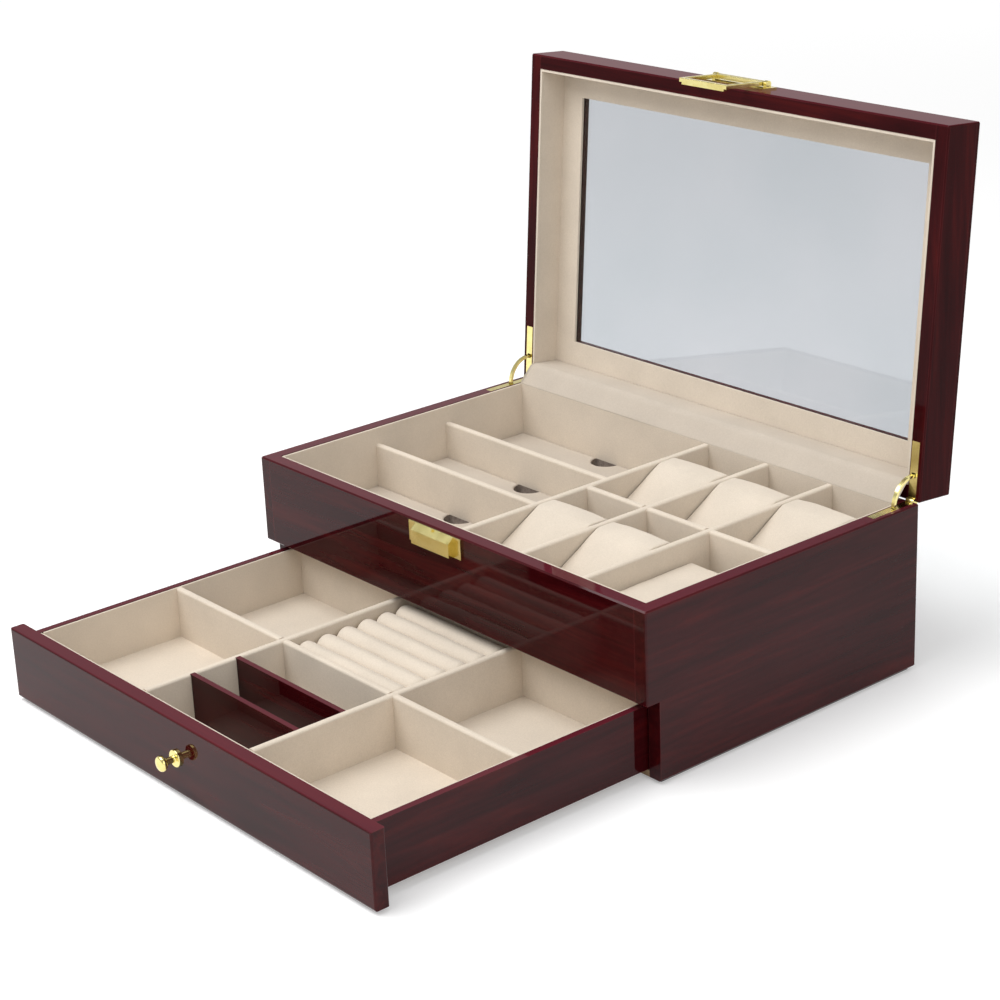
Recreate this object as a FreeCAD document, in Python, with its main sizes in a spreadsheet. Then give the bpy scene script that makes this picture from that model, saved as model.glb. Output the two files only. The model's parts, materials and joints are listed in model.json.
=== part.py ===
"""Jewellery box: a lined tray under a glazed lid, and a full-width drawer with compartments.

Row frame in millimetres: the origin is the centre of the base felt's underside, +X is right,
+Y is back and +Z is up. The box stands as it is used: lid open on its stays, drawer pulled out.
"""
import FreeCAD, Part
import os
import re

import Sketcher
from FreeCAD import Placement, Rotation, Vector

SHEET = "Sizes"
SAME = 1e-4

# ---------------------------------------------------------------- driving sizes
SIZES = [
    ("case_width", 330, "outside width of the case"),
    ("case_depth", 206.5, "outside depth of the case"),
    ("case_height", 97.4, "wood of the case, bottom to rim"),
    ("wall", 8.5, "wall boards of case and lid, and the drawer front"),
    ("edge_round", 1.1, "rounding of the lacquered corners"),
    ("edge_bevel", 0.8, "bevel along the lacquered rims"),
    ("felt", 2, "felt sheet under the case"),
    ("felt_inset", 3, "felt edge in from the case edge"),
    ("opening_height", 44.6, "underside of the upper front panel above the wood's bottom"),
    ("deck", 5, "deck board between tray and drawer"),
    ("bottom", 3.5, "bottom board of the case"),
    ("lining", 1.5, "velvet covered card round the tray and the lid"),
    ("lining_drop", 0.4, "lining edge below the rim"),
    ("divider", 4.2, "velvet covered divider boards"),
    ("velvet_round", 1.5, "soft edge of a covered divider"),
    ("pad", 15.4, "floor pads of the tray"),
    ("pad_gap", 0.3, "gap round a loose pad"),
    ("finger_radius", 9.5, "half round finger notch in a pad"),
    ("finger_off", 3, "finger notch left of the pad's middle"),
    ("front_pad_sink", 4, "front glasses pad below the others"),
    ("glasses_length", 164, "length of the glasses compartments"),
    ("glasses_front", 68, "depth of the front glasses compartment"),
    ("glasses_middle", 50.8, "depth of the middle glasses compartment"),
    ("glasses_wall_drop", 10.5, "glasses walls below the rim"),
    ("watch_front", 89.4, "depth of the front watch cells"),
    ("pillow_gap", 0.5, "gap beside a watch pillow"),
    ("pillow_length", 68, "length of a watch pillow"),
    ("pillow_height", 32.8, "height of a watch pillow at its crest"),
    ("pillow_front", 3.5, "height of a watch pillow at its front"),
    ("pillow_slope", 31, "slope of a pillow's face in degrees"),
    ("pillow_crest", 4, "rounding where the slope meets the crest"),
    ("pillow_back", 6, "rounding of the pillow's back edge"),
    ("flat_length", 75, "length of the flat pillow"),
    ("flat_height", 20, "height of the flat pillow"),
    ("flat_round", 4, "rounding of the flat pillow"),
    ("travel", 175.8, "travel of the drawer"),
    ("front_height", 41.8, "height of the drawer front"),
    ("front_clear", 0.4, "drawer front above the wood's bottom"),
    ("stop_gap", 0.2, "closed drawer front to the boards behind it"),
    ("front_lip", 2, "drawer front above the drawer sides"),
    ("drawer_depth", 194, "drawer front face to drawer back"),
    ("drawer_side_gap", 1.3, "drawer side to case side"),
    ("drawer_run", 0.3, "drawer sides above the bottom board"),
    ("drawer_board", 4, "side and back boards of the drawer"),
    ("drawer_inner_front", 4.2, "covered inner front board of the drawer"),
    ("drawer_lining", 1.2, "covered card inside the drawer"),
    ("groove_lift", 1.5, "drawer floor above the bottom of its sides"),
    ("groove_deep", 2, "groove for the drawer floor"),
    ("drawer_floor", 3, "drawer floor board"),
    ("drawer_carpet", 1, "covered card on the drawer floor"),
    ("drawer_left_cell", 101.2, "width of the left drawer cells"),
    ("drawer_middle_cell", 93.3, "width of the middle drawer cells"),
    ("drawer_front_cell", 87.7, "depth of the front drawer cells"),
    ("slot_board", 3, "lacquered divider boards"),
    ("slot_deep", 1, "groove that holds a lacquered divider board"),
    ("slot_clear", 0.1, "clearance of a lacquered divider board in its groove"),
    ("roll_end_gap", 1.6, "ring rolls short of the cell's sides"),
    ("roll_split", 0.6, "gap between two ring rolls"),
    ("ring_bed", 10, "foam bed under the ring rolls"),
    ("knob_up", 21, "knob above the wood's bottom"),
    ("knob_collar_radius", 4.8, "radius of the knob's collar"),
    ("knob_head_radius", 4.3, "radius of the knob's head"),
    ("knob_neck", 1.9, "neck of the knob"),
    ("knob_out", 11.8, "knob in front of the drawer front"),
    ("knob_stud", 1.8, "stud of the knob in the drawer front"),
    ("knob_sunk", 6, "depth of the stud in the drawer front"),
    ("knob_collar", 1.6, "thickness of the knob's collar"),
    ("knob_head", 3.9, "length of the knob's head"),
    ("knob_dome", 1.5, "bevel round the knob's face"),
    ("knob_face", 2.7, "radius of the knob's face"),
    ("lid_height", 26, "outside height of the lid"),
    ("lid_gap", 0.15, "closed lid above the rim"),
    ("lid_open", 94.7, "opening angle of the lid in degrees"),
    ("lid_top", 3.2, "top board of the lid"),
    ("window_side", 27, "window in from the lid's sides"),
    ("window_end", 25.5, "window in from the lid's front and back"),
    ("window_frame", 3.5, "covered frame behind the glass"),
    ("glass", 2, "glass pane"),
    ("glass_hold", 5, "width of the rebate that holds the glass"),
    ("glass_clear", 0.3, "glass edge clear of its rebate"),
    ("hinge_length", 34, "hinge leaf from the hinge axis"),
    ("hinge_width", 5.2, "width of a hinge leaf"),
    ("hinge_inset", 2.8, "hinge leaf in from the case side"),
    ("leaf", 1.2, "thickness of a hinge leaf"),
    ("leaf_sink", 0.1, "leaf surface below the rim"),
    ("knuckle", 2.2, "radius of the hinge knuckles"),
    ("hinge_pin", 0.8, "radius of the hinge pin"),
    ("running_fit", 0.05, "radial clearance of a pin"),
    ("side_clear", 0.1, "clearance between knuckles"),
    ("mortise_clear", 0.3, "clearance of the hinge in the wood"),
    ("stay_radius", 14.8, "middle radius of the arc stay"),
    ("stay_thick", 1.6, "thickness of the arc stay"),
    ("stay_width", 2.2, "width of the arc stay"),
    ("stay_tail", 14, "stay beyond each leaf in degrees"),
    ("stay_head", 1, "radius of the stay's cross pins"),
    ("stay_head_inset", 3, "cross pins in from the stay's ends in degrees"),
    ("stay_head_width", 3.6, "length of the stay's cross pins"),
    ("slot_width", 2.8, "width of the slot in a leaf"),
    ("slot_length", 2.8, "length of the slot in a leaf"),
    ("pocket_width", 4.4, "width of the stay's pocket in the wood"),
    ("pocket_radial", 3, "radial room of the stay's pocket"),
    ("pocket_turn", 67, "pocket beyond the leaf in degrees"),
    ("screw_shank", 0.8, "radius of a screw shank"),
    ("screw_head", 1.6, "radius of a screw head"),
    ("screw_head_high", 0.7, "height of a screw head"),
    ("screw_length", 7, "length of a screw"),
    ("screw_from_axis", 31, "screw from the hinge axis"),
    ("flap_cloth", 0.8, "cloth flap over the hinge gap"),
    ("flap_room", 1.2, "flap short of the side lining"),
    ("flap_radius", 9.6, "outer radius of the flap's bend"),
    ("flap_lap", 2.2, "flap beyond each rim in degrees"),
    ("catch_width", 44.4, "width of the catch plate"),
    ("catch_plate", 1.2, "thickness of the catch plate"),
    ("catch_tall", 11.8, "height of the catch plate"),
    ("catch_drop", 1, "catch plate below the rim"),
    ("hook_width", 32.4, "width of the catch hook"),
    ("hook_out", 4.8, "hook in front of the case"),
    ("hook_bevel", 3.4, "bevel on the hook's top"),
    ("nick_deep", 1.2, "depth of the nick in the hook's top"),
    ("bail_width", 37.4, "width of the clasp bail"),
    ("bail_side", 2, "side bars of the bail"),
    ("bail_bar", 2.6, "front bar of the bail"),
    ("bail_reach", 31.5, "bail axis to the end of the front bar"),
    ("bail_skin", 1.4, "bail in front of its axis"),
    ("bail_back", 1, "side bars behind the bail's axis"),
    ("bail_lip", 2.3, "front bar behind the bail's axis"),
    ("bail_round", 0.5, "rounding of the bail's edges"),
    ("bail_axis_up", 15.5, "bail axis above the lid's rim"),
    ("bail_axis_out", 2.7, "bail axis in front of the lid"),
    ("barrel", 1.6, "radius of the bail's barrel"),
    ("trunnion", 0.9, "radius of the bail's trunnions"),
    ("ear", 2.4, "thickness of the clasp's ears"),
    ("ear_gap", 0.4, "bail to each ear"),
    ("ear_round", 2, "radius of an ear"),
    ("clasp_width", 47, "width of the clasp plate"),
    ("clasp_low", 8, "clasp plate above the lid's rim"),
    ("clasp_tall", 12, "height of the clasp plate"),
    ("clasp_plate", 0.9, "thickness of the clasp plate"),
]

# ---------------------------------------------------------------- worked out from them
DERIVED = {
    "half_width": "case_width / 2",
    "half_depth": "case_depth / 2",
    "rim": "felt + case_height",
    "inner_width": "case_width - 2 * wall",
    "inner_depth": "case_depth - 2 * wall",
    "deck_top": "felt + opening_height + deck",
    "tray_floor": "deck_top + pad",
    "tray_width": "inner_width - 2 * lining",
    "tray_depth": "inner_depth - 2 * lining",
    "tray_left": "-half_width + wall + lining",
    "tray_front": "-half_depth + wall + lining",
    "tray_top": "rim - lining_drop",
    "watch_left": "tray_left + glasses_length + divider",
    "watch_width": "tray_width - glasses_length - divider",
    "watch_cell": "(watch_width - 2 * divider) / 3",
    "glasses_back": "tray_depth - glasses_front - glasses_middle - 2 * divider",
    "closed_front": "-half_depth",
    "drawer_face": "closed_front - travel",
    "box_front": "drawer_face + wall",
    "box_length": "drawer_depth - wall",
    "box_half": "half_width - wall - drawer_side_gap",
    "box_low": "felt + bottom + drawer_run",
    "box_top": "felt + front_clear + front_height - front_lip",
    "box_high": "box_top - box_low",
    "floor_low": "box_low + groove_lift",
    "carpet_top": "floor_low + drawer_floor + drawer_carpet",
    "cell_high": "box_top - lining_drop - carpet_top",
    "cells_left": "-box_half + drawer_board + drawer_lining",
    "cells_width": "2 * box_half - 2 * drawer_board - 2 * drawer_lining",
    "middle_cells": "cells_left + drawer_left_cell + divider",
    "cells_front": "box_front + drawer_inner_front",
    "cells_depth": "box_length - drawer_inner_front - drawer_board - drawer_lining",
    "drawer_back_cell": "cells_depth - drawer_front_cell - divider",
    "roll_pitch": "drawer_back_cell / roll_count",
    "roll_radius": "(roll_pitch - roll_split) / 2",
    "lid_side_high": "lid_height - lid_top",
    "lid_lining_high": "lid_side_high - window_frame",
    "pane_width": "case_width - 2 * window_side + 2 * glass_hold",
    "pane_depth": "case_depth - 2 * window_end + 2 * glass_hold",
    "hinge_middle": "half_width - hinge_inset - hinge_width / 2",
    "stay_turn": "lid_open / 2 + stay_tail - stay_head_inset",
    "ear_inner": "bail_width / 2 + ear_gap",
    "catch_low": "rim - catch_drop - catch_tall",
}
ROLLS = 6
ROW_COUNT = {"roll_count": ROLLS}
LEFT_AND_RIGHT = (("left", -1), ("right", 1))

doc = FreeCAD.newDocument("JewelleryBox")
sheet = doc.addObject("Spreadsheet::Sheet", SHEET)
for row, (alias, number, note) in enumerate(SIZES, start=1):
    sheet.set(f"A{row}", note)
    sheet.set(f"B{row}", str(number))
    sheet.setAlias(f"B{row}", alias)
doc.recompute()
ALIASES = {alias for alias, number, note in SIZES}
nodes = []


# ---------------------------------------------------------------- helpers
def full(text):
    """Write an expression out in the sheet's own cells."""

    def swap(match):
        word = match.group(0)
        if word in DERIVED:
            return "(" + full(DERIVED[word]) + ")"
        if word in ROW_COUNT:
            return str(ROW_COUNT[word])
        return f"{SHEET}.{word}" if word in ALIASES else word

    return re.sub(r"[a-z_]+", swap, text)


def value(text):
    """The present number behind an expression."""
    return float(sheet.evalExpression(full(text)))


def bind(thing, **properties):
    for name, text in properties.items():
        thing.setExpression(name, full(text))


def place(thing, x="0", y="0", z="0"):
    for axis, text in zip("xyz", (x, y, z)):
        thing.setExpression(f"Placement.Base.{axis}", full(text))


def keep(thing, label):
    """Make a finished object one of the box's nodes."""
    thing.Label = label
    nodes.append(thing)
    return thing


def new_body(name):
    return doc.addObject("PartDesign::Body", name)


def sketch_on(body, name, role, lift="0"):
    """An empty sketch on one of the body's own planes, lifted along the plane's normal."""
    sketch = body.newObject("Sketcher::SketchObject", name)
    plane = [item for item in body.Origin.OriginFeatures if item.Role == role][0]
    sketch.AttachmentSupport = [(plane, "")]
    sketch.MapMode = "FlatFace"
    if lift != "0":
        sketch.setExpression("AttachmentOffset.Base.z", full(lift))
    return sketch


def hold(sketch, geometry, end, x, y):
    """Tie one point of a sketch to its place, each way."""
    for kind, axis, text in (("DistanceX", -2, x), ("DistanceY", -1, y)):
        if text == "0":
            sketch.addConstraint(Sketcher.Constraint("PointOnObject", geometry, end, axis))
        else:
            index = sketch.addConstraint(
                Sketcher.Constraint(kind, -1, 1, geometry, end, value(text))
            )
            sketch.setExpression(f"Constraints[{index}]", full(text))


def polygon(sketch, corners):
    """A closed outline whose corners are pairs of expressions."""
    points = [Vector(value(x), value(y), 0) for x, y in corners]
    count = len(points)
    first = sketch.GeometryCount
    for i in range(count):
        sketch.addGeometry(Part.LineSegment(points[i], points[(i + 1) % count]))
    for i in range(count):
        after = first + (i + 1) % count
        sketch.addConstraint(Sketcher.Constraint("Coincident", first + i, 2, after, 1))
    for i, (x, y) in enumerate(corners):
        hold(sketch, first + i, 1, x, y)
    return sketch


def rectangle(sketch, low_x, low_y, high_x, high_y):
    corners = [(low_x, low_y), (high_x, low_y), (high_x, high_y), (low_x, high_y)]
    return polygon(sketch, corners)


def circle(sketch, x, y, radius):
    geometry = sketch.addGeometry(
        Part.Circle(Vector(value(x), value(y), 0), Vector(0, 0, 1), value(radius))
    )
    hold(sketch, geometry, 3, x, y)
    index = sketch.addConstraint(Sketcher.Constraint("Radius", geometry, value(radius)))
    sketch.setExpression(f"Constraints[{index}]", full(radius))
    return sketch


def pad(body, name, sketch, length, back=False, middle=False):
    feature = body.newObject("PartDesign::Pad", name)
    feature.Profile = sketch
    feature.Reversed = back
    feature.Midplane = middle
    bind(feature, Length=length)
    doc.recompute()
    return feature


def pocket(body, name, sketch, length, back=False, middle=False):
    """Cut a sketch out of the body, and make sure that something was cut."""
    before = body.Shape.Volume
    feature = body.newObject("PartDesign::Pocket", name)
    feature.Profile = sketch
    feature.Reversed = back
    feature.Midplane = middle
    bind(feature, Length=length)
    doc.recompute()
    if feature.Shape.Volume > before - SAME:
        raise RuntimeError(f"{name} cuts nothing")
    return feature


def fillet(body, name, base, radius, wanted):
    """Round the edges of the last feature that the test wanted(edge, body) picks."""
    return soften(body, "Fillet", name, base, wanted, Radius=radius)


def bevel(body, name, base, size, wanted):
    """Bevel such edges, and those that run on smoothly from them."""
    return soften(body, "Chamfer", name, base, wanted, Size=size)


def soften(body, kind, name, base, wanted, **size):
    box = base.Shape.BoundBox
    edges = [
        f"Edge{i + 1}"
        for i, edge in enumerate(base.Shape.Edges)
        if wanted(edge.BoundBox, box)
    ]
    feature = body.newObject(f"PartDesign::{kind}", name)
    feature.Base = (base, edges)
    bind(feature, **size)
    doc.recompute()
    return feature


def near(a, b):
    return abs(a - b) < SAME


def top_along_x(edge, box):
    return near(edge.ZMin, box.ZMax) and near(edge.ZMax, box.ZMax) and near(edge.YLength, 0)


def top_along_y(edge, box):
    return near(edge.ZMin, box.ZMax) and near(edge.ZMax, box.ZMax) and near(edge.XLength, 0)


def upright(edge, box):
    return near(edge.XLength, 0) and near(edge.YLength, 0) and edge.ZLength > SAME


def board(name, length, depth, height):
    """A plain board from its own low corner."""
    body = new_body(name)
    sketch = sketch_on(body, f"{name}_plan", "XY_Plane")
    rectangle(sketch, "0", "0", length, depth)
    return body, pad(body, f"{name}_board", sketch, height)


def in_lid(thing, x="0", y="0", z="0"):
    """Stand a piece that is drawn in the closed lid on the open one.

    The closed lid's own frame has its origin on the hinge axis: y is 0 there and runs
    forward below 0, and z is 0 at the rim.
    """
    thing.Placement = Placement(Vector(0, 0, 0), Rotation(Vector(-1, 0, 0), value("lid_open")))
    bind(thing, **{"Placement.Rotation.Angle": "lid_open"})
    along = f"({y}) * cos(lid_open) + ({z}) * sin(lid_open)"
    up = f"rim + ({z}) * cos(lid_open) - ({y}) * sin(lid_open)"
    place(thing, x, f"half_depth + {along}", up)


def fuse(name, pieces):
    joined = doc.addObject("Part::MultiFuse", name)
    joined.Shapes = pieces
    return joined


def cut(name, base, tool):
    result = doc.addObject("Part::Cut", name)
    result.Base = base
    result.Tool = tool
    return result


def rod(name, radius, length, x, y, z):
    """A cylinder along X, from its left end."""
    cylinder = doc.addObject("Part::Cylinder", name)
    cylinder.Placement = Placement(Vector(0, 0, 0), Rotation(Vector(0, 1, 0), 90))
    bind(cylinder, Radius=radius, Height=length)
    place(cylinder, x, y, z)
    return cylinder


def along_x(edge, box):
    return near(edge.YLength, 0) and near(edge.ZLength, 0)


# ---------------------------------------------------------------- hinge tools and screws
def screw(name):
    """A flat headed screw pointing down, its head's face at its own origin."""
    body = new_body(name)
    sketch = sketch_on(body, f"{name}_half", "XZ_Plane")
    polygon(sketch, [("0", "0"), ("screw_head", "0"), ("screw_head", "-screw_head_high"),
                     ("screw_shank", "-screw_head_high"), ("screw_shank", "-screw_length"),
                     ("0", "-screw_length")])
    turn = body.newObject("PartDesign::Revolution", f"{name}_turned")
    turn.Profile = sketch
    turn.ReferenceAxis = (sketch, ["V_Axis"])
    turn.Angle = 360
    doc.recompute()
    return body


def case_screws():
    """A screw through the end of each case leaf, down into the side board."""
    screws = {}
    for side_name, side in LEFT_AND_RIGHT:
        body = screw(f"case_screw_{side_name}")
        place(body, f"{side} * hinge_middle", "half_depth - screw_from_axis",
              "rim - leaf_sink")
        screws[side_name] = body
    return screws


def lid_screws():
    """The same screws up into the lid's side rails."""
    screws = {}
    for side_name, side in LEFT_AND_RIGHT:
        body = screw(f"lid_screw_{side_name}")
        in_lid(body, f"{side} * hinge_middle", "-screw_from_axis", "leaf_sink")
        body.Placement = Placement(Vector(0, 0, 0), Rotation(Vector(-1, 0, 0), 180))
        bind(body, **{"Placement.Rotation.Angle": "180 + lid_open"})
        screws[side_name] = body
    return screws


def mortise(name):
    """What the hinge takes out of a board: the leaf's seat, knuckle relief and stay pocket.

    It is the same above and below the rim, so one shape serves the case and the lid.
    """
    body = new_body(name)
    seat = sketch_on(body, f"{name}_seat", "XY_Plane")
    rectangle(seat, "-hinge_width / 2", "-hinge_length", "hinge_width / 2", "knuckle")
    pad(body, f"{name}_leaf", seat, "2 * (leaf_sink + leaf)", middle=True)
    relief = sketch_on(body, f"{name}_relief", "YZ_Plane")
    circle(relief, "0", "0", "knuckle + mortise_clear")
    pad(body, f"{name}_knuckles", relief, "hinge_width + 2 * side_clear", middle=True)
    path = sketch_on(body, f"{name}_path", "XY_Plane")
    rectangle(path, "-pocket_width / 2", "-(stay_radius + pocket_radial / 2)",
              "pocket_width / 2", "-(stay_radius - pocket_radial / 2)")
    swing = body.newObject("PartDesign::Revolution", f"{name}_stay_pocket")
    swing.Profile = path
    swing.ReferenceAxis = (path, ["H_Axis"])
    swing.Midplane = True
    bind(swing, Angle="2 * pocket_turn")
    doc.recompute()
    return body


def leaf(name, middle_knuckle, bore):
    """A hinge leaf with its knuckles, under the rim plane, its axis along its own X."""
    body = new_body(name)
    plate = sketch_on(body, f"{name}_plan", "XY_Plane", "-leaf_sink")
    rectangle(plate, "-hinge_width / 2", "-hinge_length", "hinge_width / 2", "0")
    rectangle(plate, "-slot_width / 2", "-(stay_radius + slot_length / 2)",
              "slot_width / 2", "-(stay_radius - slot_length / 2)")
    pad(body, f"{name}_plate", plate, "leaf", back=True)
    barrel = sketch_on(body, f"{name}_barrel", "YZ_Plane")
    circle(barrel, "0", "0", "knuckle")
    pad(body, f"{name}_knuckles", barrel, "hinge_width", middle=True)
    hole = sketch_on(body, f"{name}_hole", "YZ_Plane")
    circle(hole, "0", "0", bore)
    pocket(body, f"{name}_bore", hole, "2 * hinge_width", middle=True)
    third = "hinge_width / 6"
    gaps = sketch_on(body, f"{name}_gaps", "XY_Plane")
    low = "-(knuckle + side_clear)"
    high = "knuckle + side_clear"
    if middle_knuckle:
        rectangle(gaps, "-hinge_width", low, f"-({third} - side_clear / 2)", high)
        rectangle(gaps, f"{third} - side_clear / 2", low, "hinge_width", high)
    else:
        rectangle(gaps, f"-({third} + side_clear / 2)", low, f"{third} + side_clear / 2", high)
    pocket(body, f"{name}_cleared", gaps, "4 * knuckle", middle=True)
    return body


def stay(name, side):
    """The quarter-arc stay with a cross pin near each end, half way between the leaves."""
    body = new_body(name)
    bar = sketch_on(body, f"{name}_bar", "XY_Plane")
    rectangle(bar, "-stay_width / 2", "-(stay_radius + stay_thick / 2)",
              "stay_width / 2", "-(stay_radius - stay_thick / 2)")
    arc = body.newObject("PartDesign::Revolution", f"{name}_arc")
    arc.Profile = bar
    arc.ReferenceAxis = (bar, ["H_Axis"])
    arc.Midplane = True
    bind(arc, Angle="lid_open + 2 * stay_tail")
    doc.recompute()
    pins = sketch_on(body, f"{name}_pins", "YZ_Plane")
    for sign in ("-", ""):
        circle(pins, "-stay_radius * cos(stay_turn)",
               f"{sign}stay_radius * sin(stay_turn)", "stay_head")
    pad(body, f"{name}_heads", pins, "stay_head_width", middle=True)
    body.Placement = Placement(Vector(0, 0, 0), Rotation(Vector(-1, 0, 0), 45))
    bind(body, **{"Placement.Rotation.Angle": "lid_open / 2"})
    place(body, f"{side} * hinge_middle", "half_depth", "rim")
    keep(body, name)


in_case = case_screws()
up_in_lid = lid_screws()
case_screw_group = doc.addObject("Part::Compound", "case_screw_group")
case_screw_group.Links = list(in_case.values())
keep(case_screw_group, "case_hinge_screws")
lid_screw_group = doc.addObject("Part::Compound", "lid_screw_group")
lid_screw_group.Links = list(up_in_lid.values())
keep(lid_screw_group, "lid_hinge_screws")
pins = doc.addObject("Part::Compound", "hinge_pin_pair")
pins.Links = [
    rod(f"hinge_pin_{side_name}", "hinge_pin", "hinge_width",
        f"{side} * hinge_middle - hinge_width / 2", "half_depth", "rim")
    for side_name, side in LEFT_AND_RIGHT
]
keep(pins, "hinge_pins")


# ---------------------------------------------------------------- case
def in_face(edge):
    """Edges in the outer face of a side board."""
    return near(edge.XMin, 0) and near(edge.XMax, 0)


def along_y(edge):
    return near(edge.XLength, 0) and near(edge.ZLength, 0)


def end_across(edge, box):
    """Edges along X at the front and back of a board."""
    return along_x(edge, box) and (near(edge.YMin, box.YMin) or near(edge.YMin, box.YMax))


def case_side(side_name, side):
    """A side board, stepped back in front where the drawer front closes over its end."""
    name = f"case_side_{side_name}"
    body = new_body(f"{name}_board")
    sketch = sketch_on(body, f"{name}_profile", "YZ_Plane")
    step = "wall + stop_gap"
    polygon(sketch, [(step, "0"), ("case_depth", "0"), ("case_depth", "case_height"),
                     ("0", "case_height"), ("0", "opening_height"), (step, "opening_height")])
    cheek = pad(body, f"{name}_cheek", sketch, "wall", back=side > 0)
    over_drawer = value("opening_height")
    step_back = value(step)

    def corner(edge, box):
        on_step = near(edge.YMin, step_back)
        return in_face(edge) and upright(edge, box) and not on_step

    def rim(edge, box):
        under_step = near(edge.ZMin, over_drawer) and near(edge.ZMax, over_drawer)
        return (in_face(edge) and along_y(edge) and not under_step) or end_across(edge, box)

    rounded = fillet(body, f"{name}_rounded", cheek, "edge_round", corner)
    bevel(body, f"{name}_bevelled", rounded, "edge_bevel", rim)
    place(body, f"{side} * half_width", "-half_depth", "felt")
    hinge = mortise(f"{name}_mortise")
    place(hinge, f"{side} * hinge_middle", "half_depth", "rim")
    tool = fuse(f"{name}_tool", [hinge, in_case[side_name]])
    keep(cut(f"{name}_cut", body, tool), name)


def front_panel():
    body, solid = board("case_front_panel", "inner_width", "wall",
                        "case_height - opening_height")
    bevel(body, "case_front_panel_bevelled", solid, "edge_bevel",
          lambda edge, box: along_x(edge, box) and near(edge.YMin, box.YMin))
    place(body, "-inner_width / 2", "-half_depth", "felt + opening_height")
    keep(body, "case_front_panel")


def back_panel():
    body, solid = board("case_back_panel", "inner_width", "wall", "case_height")
    bevel(body, "case_back_panel_bevelled", solid, "edge_bevel",
          lambda edge, box: along_x(edge, box) and near(edge.YMin, box.YMax))
    place(body, "-inner_width / 2", "half_depth - wall", "felt")
    keep(body, "case_back_panel")


def plain(name, length, depth, height, x, y, z):
    """A plain board at its place."""
    body, solid = board(name, length, depth, height)
    place(body, x, y, z)
    return keep(body, name)


for side_name, side in LEFT_AND_RIGHT:
    case_side(side_name, side)
front_panel()
back_panel()
plain("case_deck", "inner_width", "inner_depth", "deck",
      "-inner_width / 2", "-half_depth + wall", "felt + opening_height")
plain("case_bottom", "inner_width", "case_depth - 2 * wall - stop_gap", "bottom",
      "-inner_width / 2", "-half_depth + wall + stop_gap", "felt")
plain("base_felt", "case_width - 2 * felt_inset",
      "case_depth - wall - stop_gap - 2 * felt_inset", "felt",
      "-half_width + felt_inset", "-half_depth + wall + stop_gap + felt_inset", "0")


# ---------------------------------------------------------------- tray
def frame_ring(name, outer_x, outer_y, inner_x, inner_y, height):
    """A thin upright frame about its own centre."""
    body = new_body(name)
    sketch = sketch_on(body, f"{name}_plan", "XY_Plane")
    rectangle(sketch, f"-{outer_x} / 2", f"-{outer_y} / 2", f"{outer_x} / 2", f"{outer_y} / 2")
    rectangle(sketch, f"-{inner_x} / 2", f"-{inner_y} / 2", f"{inner_x} / 2", f"{inner_y} / 2")
    pad(body, f"{name}_wall", sketch, height)
    return body


def tray_lining():
    body = frame_ring("tray_lining", "inner_width", "inner_depth", "tray_width", "tray_depth",
                      "tray_top - deck_top")
    place(body, z="deck_top")
    keep(body, "tray_lining")


def glasses_pad(number, y, depth, thick="pad"):
    """A loose floor pad with a half round notch in its back edge to lift it by."""
    name = f"glasses_pad_{number}"
    body, solid = board(name, "glasses_length - 2 * pad_gap", f"{depth} - 2 * pad_gap", thick)
    notch = sketch_on(body, f"{name}_half_round", "XY_Plane")
    circle(notch, "glasses_length / 2 - pad_gap - finger_off", f"{depth} - 2 * pad_gap",
           "finger_radius")
    pocket(body, f"{name}_notch", notch, "pad", back=True)
    place(body, "tray_left + pad_gap", f"{y} + pad_gap", "deck_top")
    keep(body, name)


def soft_board(name, length, depth, height, edges):
    """A velvet covered board with its top edges softened."""
    body, solid = board(name, length, depth, height)
    fillet(body, f"{name}_soft", solid, "velvet_round", edges)
    return body


def column(name, length, height, crossing):
    """A divider from front to back, notched from below over the divider that it crosses."""
    body = soft_board(name, "divider", length, height, top_along_y)
    notch = sketch_on(body, f"{name}_lap", "XY_Plane")
    rectangle(notch, "0", crossing, "divider", f"{crossing} + divider")
    pocket(body, f"{name}_half_lap", notch, f"{height} / 2", back=True)
    return body


def row(name, length, height, crossings):
    """A divider from side to side, notched from above where the columns cross it."""
    body = soft_board(name, length, "divider", height, top_along_x)
    notches = sketch_on(body, f"{name}_laps", "XY_Plane", height)
    for crossing in crossings:
        rectangle(notches, crossing, "0", f"{crossing} + divider", "divider")
    pocket(body, f"{name}_half_laps", notches, f"{height} / 2")
    return body


def watch_pillow(number, x, y):
    """A wedge pillow: a sloping face for the watch, level along its crest."""
    name = f"watch_pillow_{number}"
    body = new_body(name)
    sketch = sketch_on(body, f"{name}_profile", "YZ_Plane")
    crest = "(pillow_height - pillow_front) / tan(pillow_slope)"
    polygon(sketch, [("0", "0"), ("pillow_length", "0"), ("pillow_length", "pillow_height"),
                     (crest, "pillow_height"), ("0", "pillow_front")])
    width = "watch_cell - 2 * pillow_gap"
    wedge = pad(body, f"{name}_wedge", sketch, width)
    turn = value(crest)
    bent = fillet(body, f"{name}_crest", wedge, "pillow_crest",
                  lambda edge, box: along_x(edge, box) and near(edge.YMin, turn))
    fillet(body, f"{name}_back", bent, "pillow_back",
           lambda edge, box: along_x(edge, box) and near(edge.YMin, box.YMax)
           and near(edge.ZMin, box.ZMax))
    place(body, f"{x} + pillow_gap", y, "tray_floor")
    keep(body, name)


def flat_pillow(x, y):
    """The flat pillow of the cell that is left open for bracelets."""
    body, solid = board("flat_pillow", "watch_cell - 2 * pillow_gap", "flat_length",
                        "flat_height")
    fillet(body, "flat_pillow_ends", solid, "flat_round", top_along_x)
    place(body, f"{x} + pillow_gap", y, "tray_floor")
    keep(body, "flat_pillow")


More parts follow.
